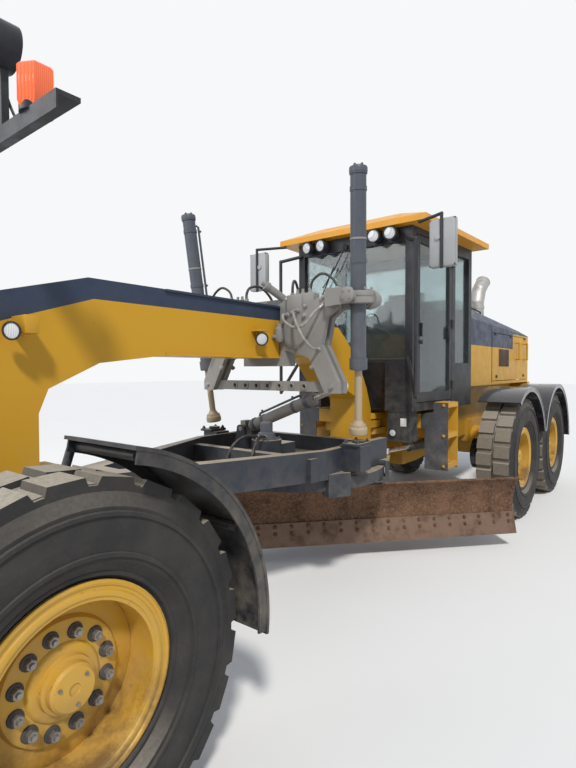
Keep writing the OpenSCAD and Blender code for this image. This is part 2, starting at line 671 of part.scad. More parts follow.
// Bracket that tips on the circle's legs and guides the rails
module blade_bracket() {
    g = 6;
    y0 = leg_y - 130;
    y1 = leg_y - 25 - gap;
    color(SLATE) in_blade() difference() {
        union() {
            both_sides() {
                along_y(y0, y1) polygon([[leg_pivot_x - 50, leg_pivot_z - 50], [rail_x - 22 - g,
                    rail_z[0] - 60],
                    [rail_x - 22 - g, rail_z[1] + 60], [rail_x - 90, rail_z[1] + 60], [leg_pivot_x - 50,
                        leg_pivot_z + 60]]);
                for (z = rail_z) difference() {
                    box(x = [rail_x - 60, rail_x + 22 + g + 16], y = [y0, y1], z = [z - 22 - g - 22,
                        z + 22 + g + 22]);
                    box(x = [rail_x - 22 - g, rail_x + 22 + g], y = [y0 - 1, y1 + 1], z = [z - 22 - g,
                        z + 22 + g]);
                    box(x = [rail_x, rail_x + 22 + g + 17], y = [y0 - 1, y1 + 1], z = [z - 22 - g + 8,
                        z + 22 + g - 8]);
                }
            }
            box(x = [leg_pivot_x - 50, leg_pivot_x], y = [-y1, y1], z = [leg_pivot_z + 10,
                leg_pivot_z + 60]);
            disc_y([leg_pivot_x, 0, leg_pivot_z], 30, 2*leg_y + 50);
            // Barrel of the blade side-shift cylinder
            bar([side_x, -900, side_z], [side_x, 600, side_z], 32);
        }
        bar([side_x, -865, side_z], [side_x, 601, side_z], 20 + pin_gap);
    }
}

// Circle side-shift cylinder, from the saddle's left foot to the drawbar's right side
module shift_swivel() {
    f = shift_foot;
    color(STEEL) union() {
        for (s = [-1, 1]) box(x = [f[0] - 25, f[0] + 60], y = [f[1] - 28, f[1] + 28],
            z = [f[2] + s*56 - 11, f[2] + s*56 + 11]);
        box(x = [f[0] + 44, f[0] + 60], y = [f[1] - 28, f[1] + 28], z = [f[2] - 67, f[2] + 67]);
        disc_z(f, 16, 130);
        disc_x(f + [77, 0, 0], 20, 36);
    }
}
module shift_barrel() {
    u = (shift_top - shift_foot)/norm(shift_top - shift_foot);
    color(STEEL) difference() {
        union() {
            bar(shift_foot + 62*u, shift_foot + 775*u, 48);
            bar(shift_foot + 735*u, shift_foot + 782*u, 54);
            bar(shift_foot, shift_foot + 70*u, 24);
            disc_z(shift_foot, 34, 86);
        }
        bar(shift_foot + 105*u, shift_foot + 783*u, 26 + pin_gap);
        disc_z(shift_foot, 16 + pin_gap, 90);
    }
}
module shift_rod() {
    u = (shift_top - shift_foot)/norm(shift_top - shift_foot);
    color(STEEL) union() {
        bar(shift_foot + 345*u, shift_top - 30*u, 26);
        disc_x(shift_top, 42, 40);
    }
}

// Articulation cylinders beside the hinge
module hinge_barrel(side) {
    p = [hinge_x + hinge_cyl_rear, side*hinge_cyl_rear_y, hinge_cyl_z];
    q = [hinge_x + hinge_cyl_front, side*hinge_cyl_front_y, hinge_cyl_z];
    u = (q - p)/norm(q - p);
    color(DARK) difference() {
        union() {
            bar(p + 64*u, p + 560*u, 50);
            bar(p, p + 80*u, 28);
            disc_z(p, 48, 60);
        }
        disc_z(p, 22 + pin_gap, 70);
        bar(p + 100*u, p + 561*u, 25 + pin_gap);
    }
}
module hinge_rod(side) {
    p = [hinge_x + hinge_cyl_rear, side*hinge_cyl_rear_y, hinge_cyl_z];
    q = [hinge_x + hinge_cyl_front, side*hinge_cyl_front_y, hinge_cyl_z];
    u = (q - p)/norm(q - p);
    color(STEEL) difference() {
        union() {
            bar(p + 330*u, q - 30*u, 25);
            disc_z(q, 42, 55);
        }
        disc_z(q, 22, 70);
    }
}

// Headlights and turn signals on a bar over the nose
module front_lights() {
    x = axle_x - 110;
    post_z = 2620;
    lamp_y = 440;
    lamp_z = 2990;
    color(DARK) {
        both_sides() along_x(x - 20, x + 20) polygon([[beam_w/2, beam_top - 300], [beam_w/2 + 40, beam_top - 300],
            [beam_w/2 + 50, beam_top], [320, post_z], [240, post_z], [beam_w/2, beam_top + 20]]);
        // Angle bar, with its upright side in front
        box(x = [x - 45, x + 45], y = [-950, 950], z = [post_z - 2, post_z + 16]);
        box(x = [x + 37, x + 45], y = [-950, 950], z = [post_z - 50, post_z + 8]);
        both_sides() {
            box(x = [x - 15, x + 15], y = [lamp_y - 20, lamp_y + 20], z = [post_z + 8, lamp_z - 60]);
            disc_x([x + 15, lamp_y, lamp_z], 95, 110);
            disc_z([x, 720, post_z + 86], 60, 150);
        }
    }
}

// Rear frame: two rails, a fork at the articulation, the axle housing, tanks and steps
module rear_frame() {
    rail_y = 230;
    rail_w = 100;
    z0 = 980;
    z1 = cab_floor_z;
    fork_x = hinge_x - 190;
    color(YELLOW) difference() {
        union() {
            both_sides() along_y(rail_y, rail_y + rail_w) polygon([[rear_x + 200, z0], [rear_x + 200,
                hood_z0],
                [cab_end_x - 80, hood_z0], [cab_end_x - 10, z1], [fork_x, z1], [fork_x, hinge_z0],
                    [fork_x - 330, hinge_z0],
                [tandem_x + 420, z0 - 160], [tandem_x - 500, z0 - 160]]);
            box(x = [fork_x - 60, fork_x], y = [-rail_y - rail_w, rail_y + rail_w], z = [hinge_z0,
                z1 - 20]);
            for (z = [hinge_lugs[0] - 78, hinge_lugs[0] + 78, hinge_lugs[1] - 78, hinge_lugs[1] + 78]) {
                disc_z([hinge_x, 0, z], 140, 60);
                box(x = [fork_x - 20, hinge_x], y = [-140, 140], z = [z - 30, z + 30]);
            }
            for (z = hinge_lugs) disc_z([hinge_x, 0, z], hinge_r, 200);
            for (x = [tandem_x + 480, tandem_x - 800, rear_x + 420]) box(x = [x - 60, x + 60],
                y = [-rail_y, rail_y], z = [z0, z1]);
            box(x = [hood_x - 120, hood_x - 20], y = [-hood_y, hood_y], z = [hood_z0 - 60, hood_z0]);
            // Axle housing between the tandems
            disc_y([tandem_x, 0, hub_z + 60], 190, 2*case_y - 60);
            disc_y([tandem_x, 0, hub_z + 60], 130, 2*case_y + 2*case_w - 30);
            both_sides() box(x = [tandem_x - 260, tandem_x + 260], y = [rail_y - 60, rail_y + rail_w + 40],
                z = [hub_z + 60, z0 + 40]);
            // Rear bumper, with the two ears of the tow hitch
            along_x(rear_x + 80, rear_x + 215) polygon([[-560, 840], [560, 840], [600, 900], [600,
                hood_z0], [-600, hood_z0], [-600, 900]]);
            for (z = [hitch_z - 45, hitch_z + 45]) {
                disc_z([hitch_x, 0, z], 50, 30);
                box(x = [hitch_x, rear_x + 90], y = [-50, 50], z = [z - 15, z + 15]);
            }
            // Tanks under the cab
            both_sides() box(x = [cab_end_x + 60, cab_x - 420], y = [rail_y + rail_w - 5, 600], z = [1000,
                1250]);
            both_sides() steps();
            // Articulation cylinder brackets
            both_sides() for (z = [hinge_cyl_z - 57, hinge_cyl_z + 57]) {
                disc_z([hinge_x + hinge_cyl_rear, hinge_cyl_rear_y, z], 45, 40);
                box(x = [hinge_x + hinge_cyl_rear - 45, hinge_x + hinge_cyl_rear + 45],
                    y = [rail_y + rail_w - 5, hinge_cyl_rear_y], z = [z - 20, z + 20]);
            }
            both_sides() disc_z([hinge_x + hinge_cyl_rear, hinge_cyl_rear_y, hinge_cyl_z], 22, 150);
        }
        disc_z([hitch_x, 0, hitch_z], hitch_r, 130);
    }
}
hitch_x = rear_x + 50;
hitch_z = 930;
hitch_r = 20.5;
step_z = [740, 1030, 1320];
module steps() {
    x0 = cab_x - 560;
    x1 = cab_x - 310;
    y0 = cab_rear_y + 5;
    for (z = step_z) difference() {
        box(x = [x0, x1], y = [y0 - (z < cab_floor_z ? 90 : 0), 870], z = [z, z + 45]);
        for (i = [0:1]) box(x = [x0 + 25, x1 - 25], y = [y0 + 15 + 60*i, y0 + 55 + 60*i], z = [z - 1,
            z + 46]);
    }
    for (x = [x0 - 8, x1]) along_x(x, x + 8) polygon([[y0 - 90, step_z[0] - 20], [870, step_z[0] - 20],
        [870, step_z[2] + 45],
        [y0, step_z[2] + 45], [y0, cab_floor_z - 20], [y0 - 90, cab_floor_z - 30]]);
    box(x = [x0 - 8, x1 + 8], y = [325, y0 - 84], z = [1110, 1250]);
}
engine_top = 2050;
// The engine's back end, ahead of the radiator and its fan
engine_back = hood_end_x + 740;
module engine() {
    color(DARK) {
        box(x = [engine_back, tandem_x + 600], y = [-330, 330], z = [hood_z0, engine_top]);
        box(x = [engine_back, tandem_x + 600], y = [-220, 220], z = [cab_floor_z, hood_z0]);
        box(x = [hood_end_x + 120, hood_end_x + 300], y = [-450, 450], z = [hood_z0, engine_top + 50]);
        box(x = [tandem_x + 560, cab_end_x - 20], y = [-220, 220], z = [900, cab_floor_z + 20]);
    }
}

// Hood: side, shoulder and top sheets that fall towards the back
module hood_solid(inset) {
    front = hood_x - inset;
    back = hood_end_x + inset;
    y1 = hood_y - inset;
    y2 = hood_y - 150 - inset*0.4;
    hull() for (e = [[front, 0], [back, hood_fall]]) along_x(e[0] - 0.5, e[0] + 0.5) polygon([
        [-y1, hood_z0 - (inset > 0 ? 10 : 0)], [y1, hood_z0 - (inset > 0 ? 10 : 0)], [y1,
            hood_side_z - e[1]*0.5 - inset*0.5],
        [y2, hood_top_z - e[1] - inset], [-y2, hood_top_z - e[1] - inset], [-y1,
            hood_side_z - e[1]*0.5 - inset*0.5]]);
}
door_x1 = hood_end_x + 110 + side_door_l;
door_x0 = hood_end_x + 110;
door_z0 = hood_z0 + 50;
door_z1 = hood_side_z - hood_fall*0.5 - 40;
module hood() {
    color(SLATE) difference() {
        hood_solid(0);
        hood_solid(hood_t);
        both_sides() box(x = [door_x0 - gap, door_x1 + gap], y = [hood_y - hood_t - 5, hood_y + 5],
            z = [door_z0 - gap, door_z1 + gap]);
        box(x = [hood_end_x - 5, hood_end_x + hood_t + 5], y = [-470 - gap, 470 + gap],
            z = [hood_z0 + 40 - gap, grille_z1 + gap]);
        disc_z([stack_x, stack_y, hood_top_z - 100], stack_r + 12, 400);
    }
}
module engine_door(side) {
    color(YELLOW) mirror([0, side > 0 ? 0 : 1, 0]) {
        box(x = [door_x0, door_x1], y = [hood_y - hood_t, hood_y], z = [door_z0, door_z1]);
        for (x = [door_x0 + 160, door_x0 + 620]) tube([[x, hood_y - 5, door_z1 - 90], [x, hood_y + 55,
            door_z1 - 90],
            [x, hood_y + 55, door_z1 - 330], [x, hood_y - 5, door_z1 - 330]], 14);
    }
}
grille_z1 = hood_side_z - hood_fall*0.5 - 60;
module rear_grille() {
    z0 = hood_z0 + 40;
    color(DARK) {
        difference() {
            box(x = [hood_end_x - 20, hood_end_x + hood_t], y = [-470, 470], z = [z0, grille_z1]);
            box(x = [hood_end_x - 21, hood_end_x + hood_t + 1], y = [-420, 420], z = [z0 + 50,
                grille_z1 - 50]);
        }
        for (z = [z0 + 80:60:grille_z1 - 60]) box(x = [hood_end_x - 14, hood_end_x + 14], y = [-425, 425],
            z = [z, z + 22]);
    }
}
stack_x = tandem_x - 410;
stack_y = 250;
module exhaust() {
    bend = [[0, 0, engine_top], [0, 0, hood_top_z + 140], [-90, 0, hood_top_z + 330], [-270, 0,
        hood_top_z + 470]];
    u = (bend[3] - bend[2])/norm(bend[3] - bend[2]);
    color(STEEL) translate([stack_x, stack_y, 0]) difference() {
        tube(bend, stack_r);
        bar(bend[3] - 120*u, bend[3] + 5*u, stack_r - 6);
    }
}

// Cab: pillars on a floor, tapered in plan, with door openings left and right
function cab_side_y(x) = cab_front_y + (cab_x - x)/cab_l*(cab_rear_y - cab_front_y);
side_turn = atan2(cab_rear_y - cab_front_y, cab_l);
door_front_x = cab_x - pillar - gap;
door_rear_x = door_front_x - door_l;
module cab_outline(inset) {
    polygon([[cab_x - inset, -cab_front_y + inset], [cab_x - inset, cab_front_y - inset],
        [cab_end_x + inset, cab_rear_y - inset], [cab_end_x + inset, -cab_rear_y + inset]]);
}
// The lower front panel leans back from this height by this much
toe_z = 1750;
toe_back = 200;
toe_y = 370;
module cab_side(inset) {
    along_y(-cab_rear_y - 10, cab_rear_y + 10) polygon([[cab_end_x, cab_floor_z],
        [cab_x - toe_back - inset, cab_floor_z],
        [cab_x - inset, toe_z], [cab_x - inset, roof_z], [cab_end_x, roof_z]]);
}
module cab_frame() {
    sill = cab_floor_z + 75;
    color(DARK) difference() {
        along_z(cab_floor_z, roof_z) cab_outline(0);
        intersection() {
            along_z(sill, roof_z - 70) cab_outline(pillar);
            cab_side(pillar);
        }
        // In its middle the cab's lower front leans back over the articulation
        along_y(-toe_y, toe_y) polygon([[cab_x + 1, cab_floor_z - 1], [cab_x + 1, toe_z], [cab_x, toe_z],
            [cab_x - toe_back, cab_floor_z], [cab_x - toe_back, cab_floor_z - 1]]);
        // Front window
        box(x = [cab_x - pillar - 1, cab_x + 1], y = [-cab_front_y + pillar, cab_front_y - pillar],
            z = [toe_z + 30, roof_z - 130]);
        // Rear window
        box(x = [cab_end_x - 1, cab_end_x + pillar + 1], y = [-cab_rear_y + pillar, cab_rear_y - pillar],
            z = [2350, roof_z - 110]);
        both_sides() {
            // Door opening and the quarter window behind it
            box(x = [door_rear_x - gap, door_front_x + gap], y = [400, 900], z = [sill, roof_z - 60]);
            box(x = [cab_end_x + pillar, door_rear_x - gap - pillar], y = [400, 900], z = [1750,
                roof_z - 110]);
        }
        along_z(roof_z - 71, roof_z + 1) cab_outline(pillar + 60);
    }
}
module cab_glass() {
    color("#7fa3ad") {
        box(x = [cab_x - 30 - glass_t, cab_x - 30], y = [-cab_front_y + pillar, cab_front_y - pillar],
            z = [toe_z + 30, roof_z - 130]);
        box(x = [cab_end_x + 30, cab_end_x + 30 + glass_t], y = [-cab_rear_y + pillar,
            cab_rear_y - pillar], z = [2350, roof_z - 110]);
        both_sides() side_pane(cab_end_x + pillar, door_rear_x - gap - pillar, 1750, roof_z - 110, 30);
    }
}
// A pane set in the slanted cab side between two places along X
module side_pane(x0, x1, z0, z1, inset) {
    along_z(z0, z1) polygon([[x0, cab_side_y(x0) - inset], [x1, cab_side_y(x1) - inset],
        [x1, cab_side_y(x1) - inset - glass_t], [x0, cab_side_y(x0) - inset - glass_t]]);
}
module cab_door(side) {
    z0 = cab_floor_z + 75 + gap;
    z1 = roof_z - 60 - gap;
    post = 62;
    x0 = door_rear_x;
    x1 = door_front_x;
    color(DARK) mirror([0, side > 0 ? 0 : 1, 0]) difference() {
        along_z(z0, z1) polygon([[x0, cab_side_y(x0)], [x1, cab_side_y(x1)], [x1, cab_side_y(x1) - 45],
            [x0, cab_side_y(x0) - 45]]);
        box(x = [x0 + post, x1 - post], y = [400, 900], z = [z0 + 90, z1 - post]);
    }
}
module door_glass(side) {
    z0 = cab_floor_z + 75 + gap;
    z1 = roof_z - 60 - gap;
    post = 62;
    color("#7fa3ad") mirror([0, side > 0 ? 0 : 1, 0])
        side_pane(door_rear_x + post, door_front_x - post, z0 + 90, z1 - post, 20);
}
module cab_roof() {
    over_front = 110;
    over_side = 170;
    color(YELLOW) hull() {
        along_z(roof_z, roof_z + 55) polygon([[cab_x + over_front, -cab_front_y - over_side],
            [cab_x + over_front, cab_front_y + over_side],
            [cab_end_x - 50, cab_rear_y + over_side], [cab_end_x - 50, -cab_rear_y - over_side]]);
        along_z(roof_z, roof_z + roof_h) polygon([[cab_x - 150, -cab_front_y + 200], [cab_x - 150,
            cab_front_y - 200],
            [cab_end_x + 200, cab_rear_y - 200], [cab_end_x + 200, -cab_rear_y + 200]]);
    }
}
module cab_interior() {
    floor_z = cab_floor_z + 75;
    seat_x = cab_x - 865;
    color(DARK) {
        box(x = [seat_x - 230, seat_x + 230], y = [-230, 230], z = [floor_z, floor_z + 330]);
        box(x = [seat_x - 260, seat_x + 270], y = [-260, 260], z = [floor_z + 320, floor_z + 470]);
        hull() {
            box(x = [seat_x - 330, seat_x - 230], y = [-250, 250], z = [floor_z + 460, floor_z + 500]);
            box(x = [seat_x - 420, seat_x - 330], y = [-200, 200], z = [floor_z + 1150, floor_z + 1200]);
        }
        for (s = [-1, 1]) box(x = [seat_x - 100, seat_x + 330], y = [s*345 - 60, s*345 + 60], z = [floor_z,
            floor_z + 620]);
        disc_z([cab_x - 375, 0, floor_z + 40], 90, 80);
        bar([cab_x - 375, 0, floor_z + 50], [cab_x - 395, 0, floor_z + 700], 55);
        bar([cab_x - 395, 0, floor_z + 690], [cab_x - 410, 0, floor_z + 730], 200);
    }
}
// Mirrors, handrails, work lamps and wiper
module cab_fittings() {
    lamp_x = cab_x + 62;
    rail_x0 = cab_x + 175;
    color(DARK) {
        both_sides() {
            tube([[cab_x + 16, cab_front_y - 40, 1800], [rail_x0, cab_front_y + 110, 1440], [rail_x0,
                cab_front_y + 110, 2820],
                [cab_x + 13, cab_front_y - 40, 2880]], 17);
            tube([[cab_x + 90, cab_front_y + 100, roof_z - 14], [cab_x + 260, cab_front_y + 370,
                roof_z - 30], [cab_x + 260, cab_front_y + 370, 2520]], 14);
            box(x = [cab_x + 200, cab_x + 245], y = [cab_front_y + 260, cab_front_y + 480], z = [2540,
                2930]);
            for (y = [300, 470]) disc_x([lamp_x, y, roof_z - 66], 60, 70);
            for (y = [300, 470]) box(x = [lamp_x - 35, lamp_x + 5], y = [y - 12, y + 12], z = [roof_z - 55,
                roof_z]);
        }
        box(x = [cab_x - 180, cab_x - 5], y = [400, 620], z = [cab_floor_z - 290, cab_floor_z]);
    }
}

// Tandem: case along the machine, with the fenders over its two wheels
module tandem(side) {
    z = hub_z;
    color(YELLOW) mirror([0, side > 0 ? 0 : 1, 0]) difference() {
        union() {
            along_y(case_y, case_y + case_w) hull() for (s = [-1,
                1]) translate([tandem_x + s*tandem_pitch/2, z]) circle(r = case_h/2 - 20);
            disc_y([tandem_x, case_y + case_w/2, hub_z + 60], 215, case_w);
            for (s = [-1, 1]) {
                disc_y([tandem_x + s*tandem_pitch/2, (case_y + case_w + wheel_y - 80)/2, z], 90,
                    wheel_y - 80 - case_y - case_w + 2);
                disc_y([tandem_x + s*tandem_pitch/2, (case_y + case_w + spindle_end_y)/2, z], spindle_r,
                    spindle_end_y - case_y - case_w);
            }
            rear_fender();
        }
        disc_y([tandem_x, case_y + case_w/2, hub_z + 60], 130 + 4*pin_gap, case_w + 2);
    }
}
module rear_fender() {
    y0 = case_y + case_w + 30;
    y1 = wheel_y + tyre_w/2 + 35;
    mid = acos(tandem_pitch/2/(rear_fender_r + fender_t));
    for (f = [[1, 54, 180 - mid], [-1, mid, 178]]) translate([tandem_x + f[0]*tandem_pitch/2, y1,
        hub_z]) rotate([90, 0, 0]) {
        linear_extrude(y1 - y0) fender_band(rear_fender_r, fender_t, f[1], f[2]);
        translate([0, 0, 3]) linear_extrude(12) fender_band(rear_fender_r - 40, 40 + fender_t/2, f[1] + 1,
            f[2] - 1);
    }
    for (s = [-1, 1]) box(x = [tandem_x + s*tandem_pitch/2 - 25, tandem_x + s*tandem_pitch/2 + 25],
        y = [y0 - 30, y0 + 30], z = [hub_z + 60, hub_z + rear_fender_r + 5]);
}

rear_frame();
engine();
hood();
cab_frame();
cab_roof();
cab_glass();
cab_interior();
exhaust();
cab_fittings();
cab_door(1);  // cab_door_left
cab_door(-1);  // cab_door_right
door_glass(1);  // door_glass_left
door_glass(-1);  // door_glass_right
engine_door(1);  // engine_door_left
engine_door(-1);  // engine_door_right
rear_grille();
tandem(1);  // tandem_left
tandem(-1);  // tandem_right
for (w = rear_wheels) {
    tyre(w[1], w[2]);
    rim(w[1], w[2]);
}
front_frame();
saddle();
front_lights();
front_axle();
yoke(1);  // yoke_left
yoke(-1);  // yoke_right
knuckle(1);  // knuckle_left
knuckle(-1);  // knuckle_right
lean_bar();
tie_rod_end();
tie_rod();
tyre(axle_x, 1);  // tyre_front_left
rim(axle_x, 1);  // rim_front_left
tyre(axle_x, -1);  // tyre_front_right
rim(axle_x, -1);  // rim_front_right
drawbar_ball();
drawbar();
circle_ring();  // circle
blade_bracket();
moldboard();
cutting_edge();
lift_collar(1);  // lift_collar_left
lift_collar(-1);  // lift_collar_right
lift_barrel(1);  // lift_barrel_left
lift_barrel(-1);  // lift_barrel_right
lift_rod(1);  // lift_rod_left
lift_rod(-1);  // lift_rod_right
shift_swivel();
shift_barrel();
shift_rod();
hinge_barrel(1);  // hinge_barrel_left
hinge_barrel(-1);  // hinge_barrel_right
hinge_rod(1);  // hinge_rod_left
hinge_rod(-1);  // hinge_rod_right
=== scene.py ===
# %% [markdown]
# # A motor grader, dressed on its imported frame
# The solids of the machine come from CAD as a fixed frame. Here they get
# paint, rust, dust and rubber, and the small parts that a CAD file leaves
# out: nuts, lamps, hoses, grips and glass. Everything is in metres, with
# forward along +X, left along +Y and up along +Z.

# %% Load the frame
import math
import bpy, bmesh
from mathutils import Matrix, Vector


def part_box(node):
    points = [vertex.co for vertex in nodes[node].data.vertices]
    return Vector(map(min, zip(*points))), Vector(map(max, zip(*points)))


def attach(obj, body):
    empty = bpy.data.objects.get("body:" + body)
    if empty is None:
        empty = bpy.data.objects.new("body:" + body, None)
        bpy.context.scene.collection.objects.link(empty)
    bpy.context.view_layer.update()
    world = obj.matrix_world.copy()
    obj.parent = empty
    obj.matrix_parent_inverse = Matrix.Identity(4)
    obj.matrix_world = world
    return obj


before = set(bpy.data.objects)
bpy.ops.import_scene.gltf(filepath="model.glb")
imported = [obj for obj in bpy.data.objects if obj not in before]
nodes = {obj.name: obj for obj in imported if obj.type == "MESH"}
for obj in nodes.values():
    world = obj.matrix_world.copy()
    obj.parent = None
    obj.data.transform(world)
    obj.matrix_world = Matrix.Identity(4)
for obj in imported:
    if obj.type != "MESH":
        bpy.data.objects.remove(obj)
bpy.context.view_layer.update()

# %% [markdown]
# ## Places that several parts share
# These are the pivots of the machine, as the CAD has them. A sign of 1
# stands for the left side and a sign of -1 for the right side.

# %% Pivots
SIDES = ((1, "left"), (-1, "right"))
axle_x, lean_pin_y, kingpin_y = 3.770, 0.675, 0.785
tandem_x, tandem_z = -2.390, 0.735
collar_x, collar_y, collar_z = 1.475, 0.815, 2.190
ball_x, ball_y, ball_z = 1.370, 0.755, 1.190
print("axle distance", round(axle_x - tandem_x, 3))

# %% [markdown]
# ## The camera
# The photograph was taken from ahead of the left front wheel, a little
# above a person's eyes. The place and the lens were worked out from points
# of known size, such as the wheels and the axle distance, so they are
# plain numbers. The three vectors are the camera's right, up and back.

# %% Camera
eye = Vector((4.588, 2.641, 1.680))
right = Vector((-0.61934, 0.78512, -0.00286))
up = Vector((-0.02346, -0.01487, 0.99961))
back = Vector((0.78477, 0.61917, 0.02763))
focal_px, image_w = 507.9, 576

lens = bpy.data.cameras.new("camera")
lens.sensor_fit = "HORIZONTAL"
lens.sensor_width = 36.0
lens.lens = focal_px/image_w*lens.sensor_width
camera = bpy.data.objects.new("camera", lens)
camera.matrix_world = Matrix((right, up, back)).transposed().to_4x4()
camera.location = eye
bpy.context.scene.collection.objects.link(camera)
bpy.context.scene.camera = camera
print("lens", round(lens.lens, 2), "mm")

# %% [markdown]
# ## Finishes
# Every finish is one shader, and its colours are mixed by noise at a few
# sizes. The helpers below each add one node to a shader and return what it
# gives, so that a finish reads like a formula. The patterns read Object
# coordinates, so they stay on the metal when a joint moves.

# %% Nodes for one finish
def shader(name, rough, metal=0.0, coat=0.0):
    mat = bpy.data.materials.new(name)
    mat.use_nodes = True
    tree = mat.node_tree
    body = tree.nodes["Principled BSDF"]
    body.inputs["Roughness"].default_value = rough
    body.inputs["Metallic"].default_value = metal
    body.inputs["Coat Weight"].default_value = coat
    return mat, tree, body


def node(tree, kind, **settings):
    n = tree.nodes.new(kind)
    for key, value in settings.items():
        setattr(n, key, value)
    return n


def noise(tree, scale, detail=4.0, rough=0.6):
    where = node(tree, "ShaderNodeTexCoord")
    n = node(tree, "ShaderNodeTexNoise")
    n.inputs["Scale"].default_value = scale
    n.inputs["Detail"].default_value = detail
    n.inputs["Roughness"].default_value = rough
    tree.links.new(where.outputs["Object"], n.inputs["Vector"])
    return n.outputs["Fac"]


def ramp(tree, value, low, high, a=0.0, b=1.0):
    n = node(tree, "ShaderNodeMapRange")
    for key, v in zip(("From Min", "From Max", "To Min", "To Max"), (low, high, a, b)):
        n.inputs[key].default_value = v
    tree.links.new(value, n.inputs["Value"])
    return n.outputs["Result"]


def mix(tree, factor, a, b):
    n = node(tree, "ShaderNodeMix", data_type="RGBA")
    for socket, value in ((n.inputs["Factor"], factor), (n.inputs["A"], a), (n.inputs["B"], b)):
        if isinstance(value, (tuple, float, int)):
            socket.default_value = (*value, 1.0) if isinstance(value, tuple) else value
        else:
            tree.links.new(value, socket)
    return n.outputs["Result"]


def maths(tree, operation, a, b=0.0):
    n = node(tree, "ShaderNodeMath", operation=operation)
    for socket, value in ((n.inputs[0], a), (n.inputs[1], b)):
        if isinstance(value, (float, int)):
            socket.default_value = value
        else:
            tree.links.new(value, socket)
    return n.outputs["Value"]


def times(tree, a, b):
    return maths(tree, "MULTIPLY", a, b)


def split_up(tree, output):
    """X, Y and Z of one output of the coordinates."""
    where = node(tree, "ShaderNodeTexCoord")
    split = node(tree, "ShaderNodeSeparateXYZ")
    tree.links.new(where.outputs[output], split.inputs[0])
    return split.outputs


def place(tree):
    return split_up(tree, "Object")


def facing(tree):
    return split_up(tree, "Normal")


def bumpy(tree, body, value, strength, distance):
    n = node(tree, "ShaderNodeBump")
    n.inputs["Strength"].default_value = strength
    n.inputs["Distance"].default_value = distance
    tree.links.new(value, n.inputs["Height"])
    tree.links.new(n.outputs["Normal"], body.inputs["Normal"])

# %% [markdown]
# ## Paint with dust and chips
# Paint on a working grader isn't one colour. It has faded patches, pale dust
# low down where the wheels throw it, and small chips that show primer.
# One function makes them all, so that all painted parts age the same way.
# Three sizes of noise are under it: wide patches fade, grime holds the dust,
# and small spots are chips.

# %% Paint
DUST = (0.42, 0.35, 0.26)
STAIN = (0.15, 0.085, 0.04)
SHEEN = 0.28


def paint(name, colour, faded, rough=0.35, dust=0.5, dust_top=1.6, chips=0.68, chip=(0.10, 0.06, 0.045),
          coat=0.0, second=None, line=None, dust_on_top=0.35, stain=0.0):
    mat, tree, body = shader(name, rough, coat=coat)
    body.inputs["Specular IOR Level"].default_value = SHEEN
    base = colour
    if second:
        base = mix(tree, line(tree), colour, second)
    wide = noise(tree, 1.7, 3.0)
    tone = mix(tree, ramp(tree, wide, 0.35, 0.7), base, base if second else faded)
    grime = noise(tree, 9.0, 6.0, 0.7)
    low = ramp(tree, place(tree)["Z"], dust_top, 0.2, 0.0, 1.0)
    lies = times(tree, ramp(tree, facing(tree)["Z"], 0.55, 0.95), dust_on_top)
    thrown = times(tree, ramp(tree, grime, 0.35, 0.75), maths(tree, "ADD", low, 0.12))
    settled = times(tree, lies, ramp(tree, grime, 0.2, 0.6, 0.5, 1.0))
    amount = maths(tree, "MAXIMUM", thrown, settled)
    dusty = mix(tree, times(tree, amount, dust), tone, DUST)
    if stain:
        blotch = ramp(tree, noise(tree, 5.0, 7.0, 0.7), 0.42, 0.60)
        near_ground = ramp(tree, place(tree)["Z"], 0.68, 0.48, 0.0, stain)
        dusty = mix(tree, times(tree, blotch, near_ground), dusty, STAIN)
    small = ramp(tree, noise(tree, 34.0, 8.0, 0.75), chips, chips + 0.03)
    tree.links.new(mix(tree, small, dusty, chip), body.inputs["Base Color"])
    tree.links.new(ramp(tree, grime, 0.3, 0.8, rough - 0.08, rough + 0.35), body.inputs["Roughness"])
    bumpy(tree, body, noise(tree, 120.0, 2.0), 0.08, 0.004)
    return mat

# %% [markdown]
# ## Where two colours meet
# The front frame and the hood carry a dark band over yellow, and the steps
# have a dark front plate. A band could be a thin sheet of its own, but it
# is only paint. So each function here finds the line from the place of a
# point, and gives 1 on one side of it and 0 on the other.

# %% Lines between two colours
def beam_line(tree):
    """1 below the dark band on the front frame, which follows the nose down."""
    band_z, nose_x, nose_fall = 2.060, 3.10, 0.32
    at = place(tree)
    past_nose = maths(tree, "MAXIMUM", maths(tree, "SUBTRACT", at["X"], nose_x), 0.0)
    band = maths(tree, "SUBTRACT", band_z, times(tree, past_nose, nose_fall))
    return maths(tree, "LESS_THAN", at["Z"], band)


def hood_line(tree):
    """1 below the dark band on the hood, which steps up near the back."""
    band_z, step_x, step_high = 1.975, -3.35, 0.22
    at = place(tree)
    step = times(tree, maths(tree, "LESS_THAN", at["X"], step_x), step_high)
    return maths(tree, "LESS_THAN", at["Z"], maths(tree, "ADD", step, band_z))


def step_line(tree):
    """1 everywhere but on the front plate of the steps, which is dark."""
    plate_x, plate_y, plate_top = -0.095, 0.60, 1.40
    at = place(tree)
    ahead = maths(tree, "GREATER_THAN", at["X"], plate_x)
    beside = maths(tree, "GREATER_THAN", maths(tree, "ABSOLUTE", at["Y"]), plate_y)
    low = maths(tree, "LESS_THAN", at["Z"], plate_top)
    return maths(tree, "SUBTRACT", 1.0, times(tree, times(tree, ahead, beside), low))

# %% [markdown]
# ## The paints of this machine
# Yellow and slate are the two main colours, and the others are greys
# between them. Parts near the wheels have more dust, up to a greater
# height. The numbers were set by comparing renders with the photograph,
# because a paint chart says nothing of dust and fading.

